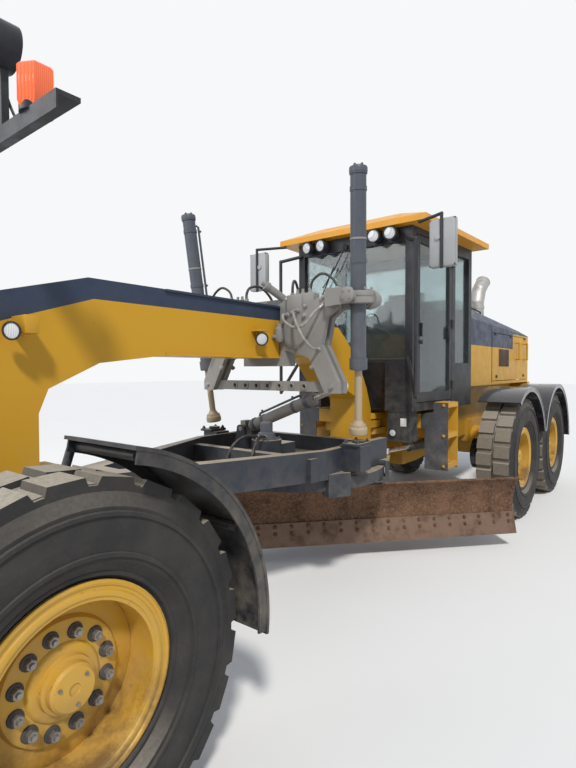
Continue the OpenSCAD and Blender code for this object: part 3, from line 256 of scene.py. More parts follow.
# %% Mixed paints
YELLOW = (0.56, 0.295, 0.014)
SLATE = (0.026, 0.041, 0.076)
yellow = paint("yellow_paint", YELLOW, (0.51, 0.28, 0.028), dust=0.4, dust_top=1.5)
frame_paint = paint("frame_paint", (0.060, 0.066, 0.078), YELLOW, dust=0.5, dust_top=1.5, second=YELLOW,
                    line=step_line)
rim_yellow = paint("rim_paint", (0.58, 0.32, 0.02), (0.50, 0.29, 0.045), dust=0.30, dust_top=2.2,
                   chips=0.64, dust_on_top=0.6, stain=0.8)
roof_yellow = paint("roof_paint", (0.68, 0.30, 0.012), (0.64, 0.30, 0.03), dust=0.2, rough=0.3)
slate = paint("slate_paint", (0.026, 0.032, 0.044), (0.038, 0.045, 0.057), dust=0.45, dust_top=1.1,
              dust_on_top=1.9)
beam_paint = paint("beam_paint", SLATE, SLATE, dust=0.4, dust_top=1.4, second=YELLOW, line=beam_line)
hood_paint = paint("hood_paint", SLATE, SLATE, dust=0.3, dust_top=1.5, second=YELLOW, line=hood_line)
dark = paint("dark_paint", (0.014, 0.017, 0.023), (0.023, 0.027, 0.034), dust=0.5, dust_top=1.7, chips=0.7)
gloss_dark = paint("fender_paint", (0.012, 0.015, 0.025), (0.018, 0.02, 0.03), rough=0.14, dust=0.25,
                   chips=0.74, coat=0.6)
grey_barrel = paint("barrel_paint", (0.064, 0.076, 0.098), (0.088, 0.098, 0.116), dust=0.25, dust_top=3.0,
                    chips=0.72)
mirror_shell = paint("mirror_paint", (0.30, 0.31, 0.32), (0.36, 0.37, 0.37), rough=0.3, dust=0.2,
                     chips=0.75)
dusty_rod = paint("dusty_rod", (0.40, 0.32, 0.21), (0.33, 0.27, 0.19), rough=0.5, dust=0.6, dust_top=2.0,
                  chips=0.66, chip=(0.16, 0.12, 0.09))
white_plate = paint("white_plate", (0.78, 0.78, 0.76), (0.70, 0.69, 0.66), rough=0.4, dust=0.3, chips=0.76)
pale_metal = paint("dusty_casting", (0.27, 0.265, 0.255), (0.19, 0.185, 0.175), rough=0.6, dust=0.45,
                   dust_top=2.6, dust_on_top=0.8)
trim = paint("cab_trim", (0.03, 0.03, 0.034), (0.045, 0.045, 0.05), rough=0.6, dust=0.2)
lamp_ring = paint("lamp_ring", (0.02, 0.02, 0.022), (0.03, 0.03, 0.03), rough=0.4, dust=0.3)
print("paints", len(bpy.data.materials))

# %% [markdown]
# ## Bare metal and rust
# The blade is rusty because soil scours its paint away. A cylinder rod is
# chromed and stays bright under a film of dust. One function serves the
# metals that differ only in colour and gloss, and rust gets two noises of
# its own, for its patches and its streaks.

# %% Metals
def metal(name, colour, rough, spots, spot_colour):
    mat, tree, body = shader(name, rough, metal=0.85)
    wide = noise(tree, 6.0, 8.0, 0.7)
    tone = mix(tree, ramp(tree, wide, spots, spots + 0.2), colour, spot_colour)
    tree.links.new(tone, body.inputs["Base Color"])
    tree.links.new(ramp(tree, wide, 0.3, 0.75, rough, rough + 0.3), body.inputs["Roughness"])
    bumpy(tree, body, noise(tree, 90.0, 5.0), 0.15, 0.003)
    return mat


chrome = metal("chromed_rod", (0.62, 0.62, 0.60), 0.16, 0.55, (0.45, 0.41, 0.35))
nut_steel = metal("nut_steel", (0.30, 0.29, 0.28), 0.45, 0.5, (0.17, 0.14, 0.12))
steel = metal("dull_steel", (0.42, 0.42, 0.41), 0.42, 0.5, (0.30, 0.25, 0.20))
edge_steel = metal("worn_edge", (0.20, 0.135, 0.10), 0.6, 0.5, (0.115, 0.07, 0.05))

rust, tree, body = shader("rusty_steel", 0.85)
patches = noise(tree, 5.0, 10.0, 0.72)
streaks = noise(tree, 40.0, 6.0, 0.8)
deep = mix(tree, ramp(tree, patches, 0.38, 0.62), (0.075, 0.038, 0.022), (0.16, 0.085, 0.048))
tree.links.new(mix(tree, ramp(tree, streaks, 0.45, 0.7, 0.0, 0.6), deep, (0.24, 0.165, 0.115)),
               body.inputs["Base Color"])
body.inputs["Specular IOR Level"].default_value = 0.2
bumpy(tree, body, streaks, 0.35, 0.006)
print("with metals", len(bpy.data.materials))

# %% [markdown]
# ## Rubber
# Tyre rubber is nearly black but looks brown-grey, since dust sits in the
# pits of the surface. Most dust lies on top and on the tread, so it is
# mixed in by the way that a face looks. The hoses have two finishes, one
# nearly clean and one under pale dust.

# %% Tyres and hoses
def tyre_finish(name, dusty_top, dusty_tread):
    """Dusty_top is for faces that look up, and dusty_tread for faces that roll on the ground."""
    mat, tree, body = shader(name, 0.85)
    grain = noise(tree, 60.0, 8.0, 0.75)
    blotch = noise(tree, 5.0, 5.0, 0.6)
    film = mix(tree, ramp(tree, blotch, 0.4, 0.8, 0.05, 0.6), (0.016, 0.0155, 0.016), (0.070, 0.062, 0.054))
    upper = times(tree, ramp(tree, facing(tree)["Z"], 0.35, 0.8),
                  ramp(tree, grain, 0.3, 0.6, 0.5*dusty_top, dusty_top))
    rolls = ramp(tree, maths(tree, "ABSOLUTE", facing(tree)["Y"]), 0.75, 0.35, 0.0, dusty_tread)
    soiled = mix(tree, times(tree, rolls, ramp(tree, grain, 0.3, 0.6, 0.6, 1.0)), film, (0.24, 0.205, 0.16))
    worn = mix(tree, upper, soiled, (0.36, 0.32, 0.26))
    tree.links.new(mix(tree, ramp(tree, grain, 0.55, 0.8, 0.0, 0.25), worn, (0.12, 0.105, 0.09)),
                   body.inputs["Base Color"])
    bumpy(tree, body, grain, 0.4, 0.004)
    return mat


rubber = tyre_finish("tyre_rubber", 1.0, 0.35)
rear_rubber = tyre_finish("rear_tyre_rubber", 0.8, 0.9)
side_rubber = tyre_finish("tyre_side_rubber", 0.1, 0.0)

hose_rubber, tree, body = shader("hose_rubber", 0.55)
tree.links.new(mix(tree, ramp(tree, noise(tree, 25.0), 0.4, 0.75), (0.012, 0.012, 0.013),
                   (0.07, 0.06, 0.05)), body.inputs["Base Color"])

pale_hose, tree, body = shader("dusty_hose", 0.7)
tree.links.new(mix(tree, ramp(tree, noise(tree, 30.0, 6.0), 0.4, 0.7), (0.32, 0.31, 0.29),
                   (0.17, 0.16, 0.15)), body.inputs["Base Color"])

print("with rubber", len(bpy.data.materials))

# %% [markdown]
# ## Fabric and glass
# Seat fabric is rough and slightly mottled, which a fine noise gives without an image. The glass of the cab
# lets nearly all light through and has faint smears in its gloss, and its blue-green colour is a painted
# reflection of the sky. The ribs of a lamp's lens are too fine to model, so a wave pattern stands for them:
# it bumps the lens and paints pale stripes on it, which are painted highlights on the ribs.

# %% Fabric, glass and lenses
fabric, tree, body = shader("seat_fabric", 0.95)
weave = noise(tree, 260.0, 3.0)
tree.links.new(mix(tree, weave, (0.030, 0.031, 0.034), (0.075, 0.077, 0.082)), body.inputs["Base Color"])
bumpy(tree, body, weave, 0.3, 0.001)

glass, tree, body = shader("cab_glass", 0.04)
# The blue-green base colour is a painted reflection of the sky on the cab's glass.
body.inputs["Base Color"].default_value = (0.52, 0.62, 0.63, 1.0)
body.inputs["Transmission Weight"].default_value = 0.96
body.inputs["IOR"].default_value = 1.45
tree.links.new(ramp(tree, noise(tree, 12.0, 6.0), 0.45, 0.8, 0.03, 0.25), body.inputs["Roughness"])


def lamp_glass(name, colour, rough=0.12):
    mat, tree, body = shader(name, rough, coat=0.5)
    ribs = node(tree, "ShaderNodeTexWave")
    ribs.inputs["Scale"].default_value = 45.0
    where = node(tree, "ShaderNodeTexCoord")
    tree.links.new(where.outputs["Object"], ribs.inputs["Vector"])
    # The pale stripes are painted highlights on the ribs of the lens; the same wave also bumps them.
    pale = tuple(min(1.0, c*1.25 + 0.03) for c in colour)
    tree.links.new(mix(tree, ribs.outputs["Fac"], colour, pale), body.inputs["Base Color"])
    bumpy(tree, body, ribs.outputs["Fac"], 0.3, 0.002)
    return mat


white_lens = lamp_glass("white_lens", (0.50, 0.52, 0.53))
amber_lens = lamp_glass("amber_lens", (0.78, 0.10, 0.008))
red_lens = lamp_glass("red_lens", (0.45, 0.02, 0.02))
mirror_face = metal("mirror_face", (0.75, 0.78, 0.80), 0.03, 0.9, (0.6, 0.6, 0.6))
print("all finishes", len(bpy.data.materials))

# %% [markdown]
# ## A finish for each CAD node
# The nodes come without colours. One table names each finish and the nodes
# that have it, so what is painted, chromed or rusty can be seen at a
# glance. A node that isn't in the table is dark, as the cab's frame and the
# front axle are.

# %% Finishes for the CAD nodes
finished = (
    (beam_paint, "front_frame"),
    (frame_paint, "rear_frame"),
    (hood_paint, "hood engine_door_left engine_door_right"),
    (roof_yellow, "cab_roof"),
    (gloss_dark, "tandem_left tandem_right"),
    (slate, "drawbar circle blade_bracket"),
    (trim, "cab_interior"),
    (glass, "cab_glass door_glass_left door_glass_right"),
    (rust, "moldboard"),
    (edge_steel, "cutting_edge"),
    (dusty_rod, "lift_rod_left lift_rod_right"),
    (chrome, "shift_rod hinge_rod_left hinge_rod_right"),
    (steel, "exhaust drawbar_ball tie_rod tie_rod_end lean_bar"),
    (grey_barrel, "lift_barrel_left lift_barrel_right"),
    (pale_metal, "saddle shift_barrel shift_swivel lift_collar_left lift_collar_right"),
)
finish_of = {name: mat for mat, names in finished for name in names.split()}
for name, obj in nodes.items():
    if name.startswith("tyre"):
        mat = rear_rubber if "rear" in name else rubber
    elif name.startswith("rim"):
        mat = rim_yellow
    else:
        mat = finish_of.get(name, dark)
    obj.data.materials.clear()
    obj.data.materials.append(mat)
print("painted", len(nodes), "nodes")

# %% [markdown]
# ## Tools for the small parts
# Each small part starts as a bmesh. These helpers add one shape to it: a
# bevelled block, a turned shape spun round an axis, or a hexagon nut. Most
# fittings of the real machine are turned on a lathe, so an outline and a
# spin give their true form.

# %% Blocks, turned shapes and nuts
def toward(axis):
    """A turn that takes +Z to the given axis."""
    return Vector(axis).normalized().to_track_quat("Z", "Y").to_matrix().to_4x4()


def add_box(bm, a, b, bevel=0.004):
    """A bevelled block between two opposite corners."""
    lo, hi = Vector(map(min, a, b)), Vector(map(max, a, b))
    new = bmesh.ops.create_cube(bm, size=1.0)["verts"]
    bmesh.ops.scale(bm, vec=hi - lo, verts=new)
    bmesh.ops.translate(bm, vec=(lo + hi)/2, verts=new)
    edges = list({e for v in new for e in v.link_edges})
    if bevel:
        bmesh.ops.bevel(bm, geom=edges, offset=bevel, segments=2, profile=0.5, affect="EDGES", material=-1)


def add_turned(bm, centre, axis, outline, steps=32):
    """Spins an outline of (radius, height) pairs round an axis into a closed shape."""
    outline = list(outline)
    if outline[0][0] == 0 and outline[-1][0] > 0:
        outline.append((0, outline[-1][1]))
    if outline[-1][0] == 0 and outline[0][0] > 0:
        outline.insert(0, (0, outline[0][1]))
    old = set(bm.verts)
    points = [bm.verts.new((r, 0, h)) for r, h in outline]
    ends = zip(points, points[1:] + (points[:1] if outline[0][0] > 0 else []))
    edges = [bm.edges.new(pair) for pair in ends]
    bmesh.ops.spin(bm, geom=points + edges, cent=(0, 0, 0), axis=(0, 0, 1), angle=2*math.pi, steps=steps,
                   use_merge=True)
    made = [v for v in bm.verts if v not in old]
    bmesh.ops.remove_doubles(bm, verts=made, dist=1e-5)
    turn = Matrix.Translation(Vector(centre)) @ toward(axis)
    bmesh.ops.transform(bm, matrix=turn, verts=[v for v in bm.verts if v not in old])


def sleeve(inner, outer, half):
    """The outline of a plain ring."""
    return [(inner, -half), (outer, -half), (outer, half), (inner, half)]


def pin(radius, low, high):
    """The outline of a plain round pin."""
    return [(0, low), (radius, low), (radius, high), (0, high)]


def polar(radius, degrees):
    """The two coordinates of a point on a circle."""
    a = math.radians(degrees)
    return math.cos(a)*radius, math.sin(a)*radius


def add_nut(bm, centre, axis, across=0.03, high=0.02, washer=0.0):
    """A hexagon nut with its bolt's end, on a washer if that has a radius."""
    turn = Matrix.Translation(Vector(centre)) @ toward(axis)
    if washer:
        bmesh.ops.create_cone(bm, cap_ends=True, segments=16, radius1=washer, radius2=washer*0.9,
                              depth=high*0.35, matrix=turn @ Matrix.Translation((0, 0, high*0.17)))
    bmesh.ops.create_cone(bm, cap_ends=True, segments=6, radius1=across/2, radius2=across/2, depth=high,
                          matrix=turn @ Matrix.Translation((0, 0, high*0.5)))
    bmesh.ops.create_cone(bm, cap_ends=True, segments=8, radius1=across*0.28, radius2=across*0.24,
                          depth=high*0.6, matrix=turn @ Matrix.Translation((0, 0, high*1.2)))

# %% [markdown]
# ## Hoses and rods
# A hose is a round tube along a path. It could be a curve with a thickness,
# but rings that are bridged give a closed mesh at once. Each ring is turned
# on from the one before it, so that the hose doesn't twist.

# %% Hoses and rods
def smooth_path(points, cuts=6):
    """A rounded path through the points."""
    out = []
    pts = [Vector(p) for p in points]
    pts = [pts[0]*2 - pts[1]] + pts + [pts[-1]*2 - pts[-2]]
    for i in range(1, len(pts) - 2):
        a, b, c, d = pts[i - 1:i + 3]
        for k in range(cuts):
            t = k/cuts
            out.append(0.5*((2*b) + (c - a)*t + (2*a - 5*b + 4*c - d)*t*t + (3*b - a - 3*c + d)*t**3))
    return out + [pts[-2]]


def add_hose(bm, points, radius=0.012, sides=8, rounded=True):
    """Lays a round hose or rod along points, and returns the path it took."""
    path = smooth_path(points) if rounded else [Vector(p) for p in points]
    turn, last, rings = None, None, []
    for i, p in enumerate(path):
        ahead = (path[min(i + 1, len(path) - 1)] - path[max(i - 1, 0)]).normalized()
        turn = ahead.to_track_quat("Z", "Y") if turn is None else last.rotation_difference(ahead) @ turn
        last = ahead
        matrix = Matrix.Translation(p) @ turn.to_matrix().to_4x4()
        ring = bmesh.ops.create_circle(bm, cap_ends=False, segments=sides, radius=radius,
                                       matrix=matrix)["verts"]
        rings.append(list({e for v in ring for e in v.link_edges}))
    for a, b in zip(rings, rings[1:]):
        bmesh.ops.bridge_loops(bm, edges=a + b)
    for ring in (rings[0], rings[-1]):
        bmesh.ops.contextual_create(bm, geom=ring)
    return path

# %% [markdown]
# ## From a bmesh to a piece
# A finished piece has a name, a material and a body that it rides on. Its normals are worked out first,
# because a spun shape can come out inside out. Edges sharper than 35 degrees stay sharp, so that flat ends
# don't look swollen.

# %% Finished pieces
def finish_piece(name, bm, mat, on, smooth=True):
    """Turns a bmesh into an object that rides on a body."""
    bmesh.ops.recalc_face_normals(bm, faces=bm.faces)
    mesh = bpy.data.meshes.new(name)
    bm.to_mesh(mesh)
    bm.free()
    mesh.materials.append(mat)
    if smooth:
        mesh.shade_smooth()
        mesh.set_sharp_from_angle(angle=math.radians(35))
    obj = bpy.data.objects.new(name, mesh)
    bpy.context.scene.collection.objects.link(obj)
    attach(obj, on)
    return obj


def middle(name):
    lo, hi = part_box(name)
    return (lo + hi)/2

# %% [markdown]
# ## Wheels
# A grader rim is bolted to its hub by twelve large nuts on dark washers. It
# is made in three parts, so a lock ring shows as a step near the flange. The
# tyre's side has raised rings. The steps are turned shapes, and the nuts are
# set round the hub by angle.

# %% Wheels
LOCK_RING = [(0.277, 0.128), (0.277, 0.138), (0.288, 0.139), (0.292, 0.144), (0.300, 0.146),
             (0.309, 0.143), (0.312, 0.1385), (0.323, 0.1385), (0.326, 0.143), (0.334, 0.146),
             (0.343, 0.142), (0.343, 0.130)]
HUB = [(0, -0.010), (0.275, -0.010), (0.275, 0.000), (0.250, 0.006), (0.205, 0.012), (0.196, 0.030),
       (0.188, 0.034), (0.126, 0.034), (0.119, 0.044), (0.112, 0.047), (0.093, 0.049), (0.090, 0.068),
       (0.079, 0.071), (0.077, 0.096), (0.068, 0.105), (0.020, 0.107), (0.018, 0.101), (0, 0.101)]
WASHER = [(0, 0), (0.027, 0), (0.026, 0.006), (0.021, 0.009), (0, 0.009)]
bolt_ring, bolt_count = 0.157, 12
cap_ring, cap_count = 0.052, 3
tyre_ridges = ((0.365, 0.1435), (0.430, 0.1830), (0.560, 0.1865))
wheels = {"front_left": 1, "front_right": -1, "rear_left_1": 1, "rear_left_2": 1, "rear_right_1": -1,
          "rear_right_2": -1}
for wheel, side in wheels.items():
    hub = middle("rim_" + wheel)
    out = Vector((0, side, 0))
    disc = hub + out*0.002
    bm = bmesh.new()
    add_turned(bm, hub, out, LOCK_RING, 64)
    add_turned(bm, disc, out, HUB, 64)
    finish_piece("rim_rings_" + wheel, bm, rim_yellow, "wheel_" + wheel)
    washers, nuts = bmesh.new(), bmesh.new()
    for i in range(bolt_count):
        u, v = polar(bolt_ring, 360//bolt_count*i + 15)
        seat = disc + Vector((u, 0, v)) + out*0.033
        add_turned(washers, seat, out, WASHER, 18)
        add_nut(nuts, seat + out*0.007, out, 0.034, 0.020)
    for i in range(cap_count):
        u, v = polar(cap_ring, 360//cap_count*i + 20)
        add_nut(nuts, disc + Vector((u, 0, v)) + out*0.104, out, 0.014, 0.006)
    finish_piece("wheel_washers_" + wheel, washers, trim, "wheel_" + wheel)
    finish_piece("wheel_nuts_" + wheel, nuts, nut_steel, "wheel_" + wheel, smooth=False)
    bm = bmesh.new()
    for s in (1, -1):
        for r, w in tyre_ridges:
            low, high = w - 0.004, w + 0.005
            ridge = [(r - 0.010, low), (r - 0.006, high), (r + 0.006, high), (r + 0.010, low)]
            add_turned(bm, hub, out*s, ridge, 64)
    finish_piece("tyre_rings_" + wheel, bm, side_rubber, "wheel_" + wheel)
print("wheels", len(wheels))

# %% [markdown]
# ## Lamps
# A work lamp is a dark pressed ring round a ribbed lens. Both are turned
# shapes on one axis, so one function makes a lamp at any place and angle.
# The turn signals are six-sided amber prisms, narrower at both their ends.

# %% Lamps
TURN_SIGNAL = [(0, 0), (0.061, 0), (0.0705, 0.022), (0.0705, 0.147), (0.060, 0.160), (0, 0.164)]


def add_lamp(name, at, axis, r, on, bracket=None):
    """A round lamp of radius r, and the blocks of its bracket if it has one."""
    at, axis = Vector(at), Vector(axis).normalized()
    bm = bmesh.new()
    add_turned(bm, at, axis,
               [(0, -0.55*r), (0.62*r, -0.5*r), (0.95*r, -0.1*r), (1.04*r, 0.1*r), (1.04*r, 0.24*r),
                (0.86*r, 0.26*r), (0.84*r, 0.08*r), (0, 0.06*r)], 28)
    for a in (0.4, 2.5, 4.6):
        spot = Matrix.Rotation(a, 3, axis) @ axis.orthogonal().normalized()
        add_nut(bm, at + spot*r*0.95 + axis*0.23*r, axis, 0.13*r, 0.05*r)
    finish_piece(name + "_shell", bm, lamp_ring, on)
    bm = bmesh.new()
    add_turned(bm, at, axis, [(0.845*r, 0.07*r), (0.83*r, 0.15*r), (0.5*r, 0.22*r), (0, 0.25*r)], 28)
    finish_piece(name + "_lens", bm, white_lens, on)
    if bracket:
        bm = bmesh.new()
        for lo, hi in bracket:
            add_box(bm, lo, hi, 0.004)
        finish_piece(name + "_bracket", bm, yellow, on)


for s, side in SIDES:
    for i, y in enumerate((0.30, 0.47)):
        add_lamp(f"cab_lamp_{side}_{i}", (0.322, s*y, 2.934), (1, s*0.15, -0.12), 0.062, "rear")
    add_lamp("headlight_" + side, (3.730, s*0.44, 2.990), (1, 0, -0.06), 0.092, "front")
    add_lamp("beam_lamp_" + side, (1.820, s*0.215, 1.905), (0.45, s*0.9, -0.15), 0.048, "front",
             [((1.775, s*0.150, 1.958), (1.865, s*0.235, 1.972)),
              ((1.812, s*0.172, 1.880), (1.828, s*0.182, 1.965))])
    add_lamp("nose_lamp_" + side, (3.560, s*0.255, 1.860), (0.8, s*0.6, -0.1), 0.042, "front",
             [((3.455, s*0.150, 1.850), (3.520, s*0.290, 1.935))])
    bm = bmesh.new()
    add_turned(bm, (3.660, s*0.720, 2.640), (0, 0, 1), TURN_SIGNAL, 6)
    finish_piece("turn_signal_" + side, bm, amber_lens, "front")
    bm = bmesh.new()
    add_box(bm, (-4.382, s*0.480 - 0.070, 1.270), (-4.362, s*0.480 + 0.070, 1.400), 0.006)
    add_turned(bm, (-4.380, s*0.480, 1.335), (-1, 0, 0), [(0.052, 0), (0.050, 0.008), (0, 0.012)], 24)
    finish_piece("tail_light_" + side, bm, red_lens, "rear")
add_lamp("frame_lamp", (0.222, 0.455, 1.085), (1, 0.1, 0), 0.036, "rear")
print("lamps done")

# %% [markdown]
# ## Fittings of a barrel
# A hydraulic barrel is a tube with a screwed gland at its rod end and a
# welded cap at the other. An oil pipe runs along its back, held by two
# clamps, to feed the far end. Each ring is turned on the barrel's own axis,
# so one function serves all three barrels.

# %% Barrel fittings
def barrel_trim(name, low, high, r, on, pipe_side, bands=(), pipe_from=0.075,
                clamps=(0.25, 0.8)):
    """Gland, cap and pipe of a barrel. Bands and clamps are shares of its length."""
    axis = (high - low).normalized()
    out = (Vector(pipe_side) - axis*Vector(pipe_side).dot(axis)).normalized()
    bm = bmesh.new()
    add_turned(bm, low, axis,
               [(r - 0.004, -0.004), (r + 0.007, 0.0), (r + 0.009, 0.008), (r + 0.009, 0.040),
                (r + 0.004, 0.048), (r - 0.004, 0.050)], 36)
    cap = [(0, 0.016), (r*0.7, 0.016), (r + 0.004, 0.006), (r + 0.008, -0.004), (r + 0.008, -0.030),
           (r - 0.004, -0.034), (r - 0.004, 0.004), (0, 0.004)]
    add_turned(bm, high, axis, cap, 36)
    for i in range(4):
        spot = Matrix.Rotation(math.radians(90*i + 45), 3, axis) @ out
        add_nut(bm, high + spot*r*0.62 + axis*0.014, axis, 0.020, 0.008)
    on_barrel, clear = out*(r + 0.002), out*(r + 0.022)
    pipe = [low + axis*pipe_from + on_barrel, low + axis*(pipe_from + 0.015) + clear,
            high - axis*0.10 + clear, high - axis*0.085 + on_barrel]
    add_hose(bm, pipe, 0.010, 10, rounded=False)
    for f in clamps:
        c = low.lerp(high, f)
        add_turned(bm, c, axis, sleeve(r - 0.003, r + 0.004, 0.014), 36)
        add_nut(bm, c + out*(r + 0.030), out, 0.022, 0.010)
    finish_piece(name + "_fittings", bm, grey_barrel, on)
    if bands:
        bm = bmesh.new()
        for f in bands:
            add_turned(bm, low.lerp(high, f), axis, sleeve(r - 0.003, r + 0.003, 0.006), 36)
        finish_piece(name + "_bands", bm, pale_metal, on)

# %% [markdown]
# ## Lift and side-shift cylinders
# Each lift cylinder hangs in a collar on the saddle and holds the drawbar
# by a ball, so its axis runs from the collar to the ball. Its rings and its
# cap are set on that line, and not along the machine. The side-shift
# cylinder is a little thinner and lies across.

# %% Cylinders
COLLAR_RING = [(0.098, -0.040), (0.106, -0.036), (0.106, -0.012), (0.101, -0.008), (0.101, 0.008),
               (0.106, 0.012), (0.106, 0.036), (0.098, 0.040)]
BALL_CAP = [(0.054, -0.030), (0.062, -0.026), (0.066, -0.018), (0.066, 0.016), (0.056, 0.030),
            (0.040, 0.055), (0.030, 0.075), (0.027, 0.075)]
EYE_CAP = [(0, 0.026), (0.018, 0.026), (0.030, 0.020), (0.030, -0.020), (0.018, -0.026), (0, -0.026)]
gland_below, cap_above, lift_r = 0.510, 0.862, 0.055
shift_foot, shift_eye, shift_r = Vector((1.278, -0.430, 1.170)), Vector((1.278, 0.560, 1.555)), 0.048
for s, side in SIDES:
    collar = Vector((collar_x, s*collar_y, collar_z))
    ball = Vector((ball_x, s*ball_y, ball_z))
    axis = (collar - ball).normalized()
    barrel_trim("lift_" + side, collar - axis*gland_below, collar + axis*cap_above, lift_r,
                "lift_barrel_" + side, (-1, -s*0.6, 0), (0.66,), pipe_from=0.620, clamps=(0.55, 0.9))
    bm = bmesh.new()
    add_turned(bm, collar, axis, COLLAR_RING, 40)
    for a in range(0, 360, 60):
        spot = Matrix.Rotation(math.radians(a), 3, axis) @ Vector((1, 0, 0))
        add_nut(bm, collar + spot*0.092 + axis*0.044, axis, 0.018, 0.010)
    finish_piece("collar_rings_" + side, bm, pale_metal, "lift_collar_" + side)
    bm = bmesh.new()
    add_turned(bm, ball + axis*0.050, axis, BALL_CAP, 36)
    for a in range(30, 390, 60):
        spot = Matrix.Rotation(math.radians(a), 3, axis) @ Vector((1, 0, 0))
        add_nut(bm, ball + spot*0.054 + axis*0.068, axis, 0.018, 0.012)
    finish_piece("lift_ball_cap_" + side, bm, dusty_rod, "lift_rod_" + side)
    bm = bmesh.new()
    add_box(bm, (1.275, s*ball_y - 0.085, 1.130), (1.465, s*ball_y + 0.055, 1.150), 0.005)
    for x in (1.298, 1.442):
        for y in (-0.062, 0.032):
            add_nut(bm, (x, s*ball_y + y, 1.149), (0, 0, 1), 0.028, 0.018, 0.020)
    finish_piece("lift_ball_plate_" + side, bm, slate, "drawbar")
axis = (shift_eye - shift_foot).normalized()
barrel_trim("side_shift", shift_foot + axis*0.735, shift_foot + axis*0.090, shift_r, "shift_barrel",
            (0, 0, 1))
bm = bmesh.new()
add_turned(bm, shift_eye, (1, 0, 0), EYE_CAP, 28)
finish_piece("side_shift_eye_cap", bm, dusty_rod, "shift_rod")
print("cylinders done")

# %% [markdown]
# ## A hose between two fittings
# A hose leaves its fitting straight, droops under its own weight and comes back up, so its path is a smooth
# curve through a few points.

# %% A hose and its two fittings
def hose(name, points, radius, on, mat=hose_rubber):
    """A hose that runs from one fitting to another on the same body."""
    bm = bmesh.new()
    path = add_hose(bm, points, radius, 10)
    obj = finish_piece(name, bm, mat, on)
    wide, narrow = radius*1.7, radius*1.25
    fitting = [(0, 0), (wide, 0), (wide, 0.014), (narrow, 0.016), (narrow, 0.040), (0, 0.040)]
    bm = bmesh.new()
    for end, ahead in ((path[0], path[1] - path[0]), (path[-1], path[-2] - path[-1])):
        ahead.normalize()
        add_turned(bm, end - ahead*0.012, ahead, fitting, 12)
    finish_piece(name + "_ends", bm, steel, on)

# %% [markdown]
# ## Castings and hoses on the saddle
# The saddle carries the valves that feed the lift cylinders, the bosses of
# the collars and a bundle of hoses. A valve is a block with round fittings
# at its ports. Both ends of each hose are on the front half, so no joint
# pulls at it.

# %% Saddle
VALVE_TOP = [(0, -0.01), (0.017, -0.01), (0.017, 0.022), (0.011, 0.026), (0.011, 0.048), (0, 0.050)]
VALVE_FRONT = [(0, -0.01), (0.016, -0.01), (0.016, 0.016), (0.010, 0.020), (0, 0.030)]
REAR_BOSS = [(0, -0.004), (0.070, -0.004), (0.074, 0.004), (0.074, 0.030), (0.062, 0.040), (0.060, 0.095),
             (0.052, 0.105), (0, 0.108)]
FRONT_BOSS = [(0, -0.004), (0.052, -0.004), (0.054, 0.004), (0.054, 0.016), (0.040, 0.024), (0, 0.026)]
saddle_x, saddle_back, saddle_front = 1.485, 1.416, 1.554
valves = ((0.240, 2.095), (0.290, 2.110), (0.340, 2.120), (0.410, 2.150))
upper_nuts = ((0.470, 1.700), (0.330, 1.850), (0.560, 2.200), (0.400, 2.080))
arm_nut = ((0.640, 1.555),)
for s, side in SIDES:
    bm = bmesh.new()
    add_box(bm, (1.432, s*0.290 - 0.075, 2.085), (1.538, s*0.290 + 0.075, 2.250), 0.012)
    add_box(bm, (1.445, s*0.410 - 0.055, 2.130), (1.525, s*0.410 + 0.055, 2.255), 0.010)
    for y, z in valves:
        add_turned(bm, (saddle_x, s*y, 2.245), (0, 0, 1), VALVE_TOP, 14)
        add_turned(bm, (1.548, s*y, z), (1, 0, 0), VALVE_FRONT, 14)
    add_turned(bm, (1.335, s*collar_y, collar_z), (-1, 0, 0), REAR_BOSS, 36)
    add_turned(bm, (1.615, s*collar_y, collar_z), (1, 0, 0), FRONT_BOSS, 36)
    for x, out_x, nut_ring in ((1.303, -1, 0.050), (1.632, 1, 0.035)):
        for i in range(4):
            u, v = polar(nut_ring, 90*i + 45)
            add_nut(bm, (x, s*collar_y + u, collar_z + v), (out_x, 0, 0), 0.016, 0.010)
    finish_piece("saddle_castings_" + side, bm, pale_metal, "front")
    bm = bmesh.new()
    for x, out_x, spots in ((saddle_back, -1, upper_nuts), (saddle_front, 1, arm_nut + upper_nuts)):
        for y, z in spots:
            add_nut(bm, (x - out_x*0.004, s*y, z), (out_x, 0, 0), 0.030, 0.016, 0.020)
    finish_piece("saddle_nuts_" + side, bm, steel, "front")
    hose(f"saddle_hose_{side}_1",
         [(1.556, s*0.240, 2.095), (1.610, s*0.245, 2.090), (1.650, s*0.290, 2.040),
          (1.655, s*0.380, 1.990), (1.640, s*0.470, 2.010), (1.610, s*0.530, 2.090),
          (1.553, s*0.560, 2.140)], 0.011, "front", pale_hose)
    hose(f"saddle_hose_{side}_2",
         [(1.556, s*0.340, 2.120), (1.620, s*0.350, 2.110), (1.675, s*0.410, 2.040),
          (1.680, s*0.470, 1.930), (1.650, s*0.510, 1.860), (1.610, s*0.525, 1.835),
          (1.553, s*0.530, 1.830)], 0.010, "front", pale_hose)
    hose(f"saddle_hose_{side}_3",
         [(1.485, s*0.410, 2.180), (1.485, s*0.412, 2.290), (1.490, s*0.440, 2.350),
          (1.495, s*0.520, 2.385), (1.495, s*0.600, 2.350), (1.490, s*0.640, 2.300),
          (1.485, s*0.650, 2.252)], 0.010, "front")
    hose(f"saddle_hose_{side}_4",
         [(1.485, s*0.240, 2.215), (1.484, s*0.240, 2.310), (1.450, s*0.225, 2.365),
          (1.370, s*0.185, 2.370), (1.290, s*0.155, 2.300), (1.235, s*0.146, 2.215),
          (1.180, s*0.145, 2.180)], 0.011, "front")
print("saddle done")

# %% [markdown]
# ## Lock pin and link bar
# A small cylinder draws the pin that locks the saddle's link bar, and a
# switch beside it feels where the pin is. The bar has seven holes for the
# pin, each in a raised boss, and a loop sets them at one pitch.

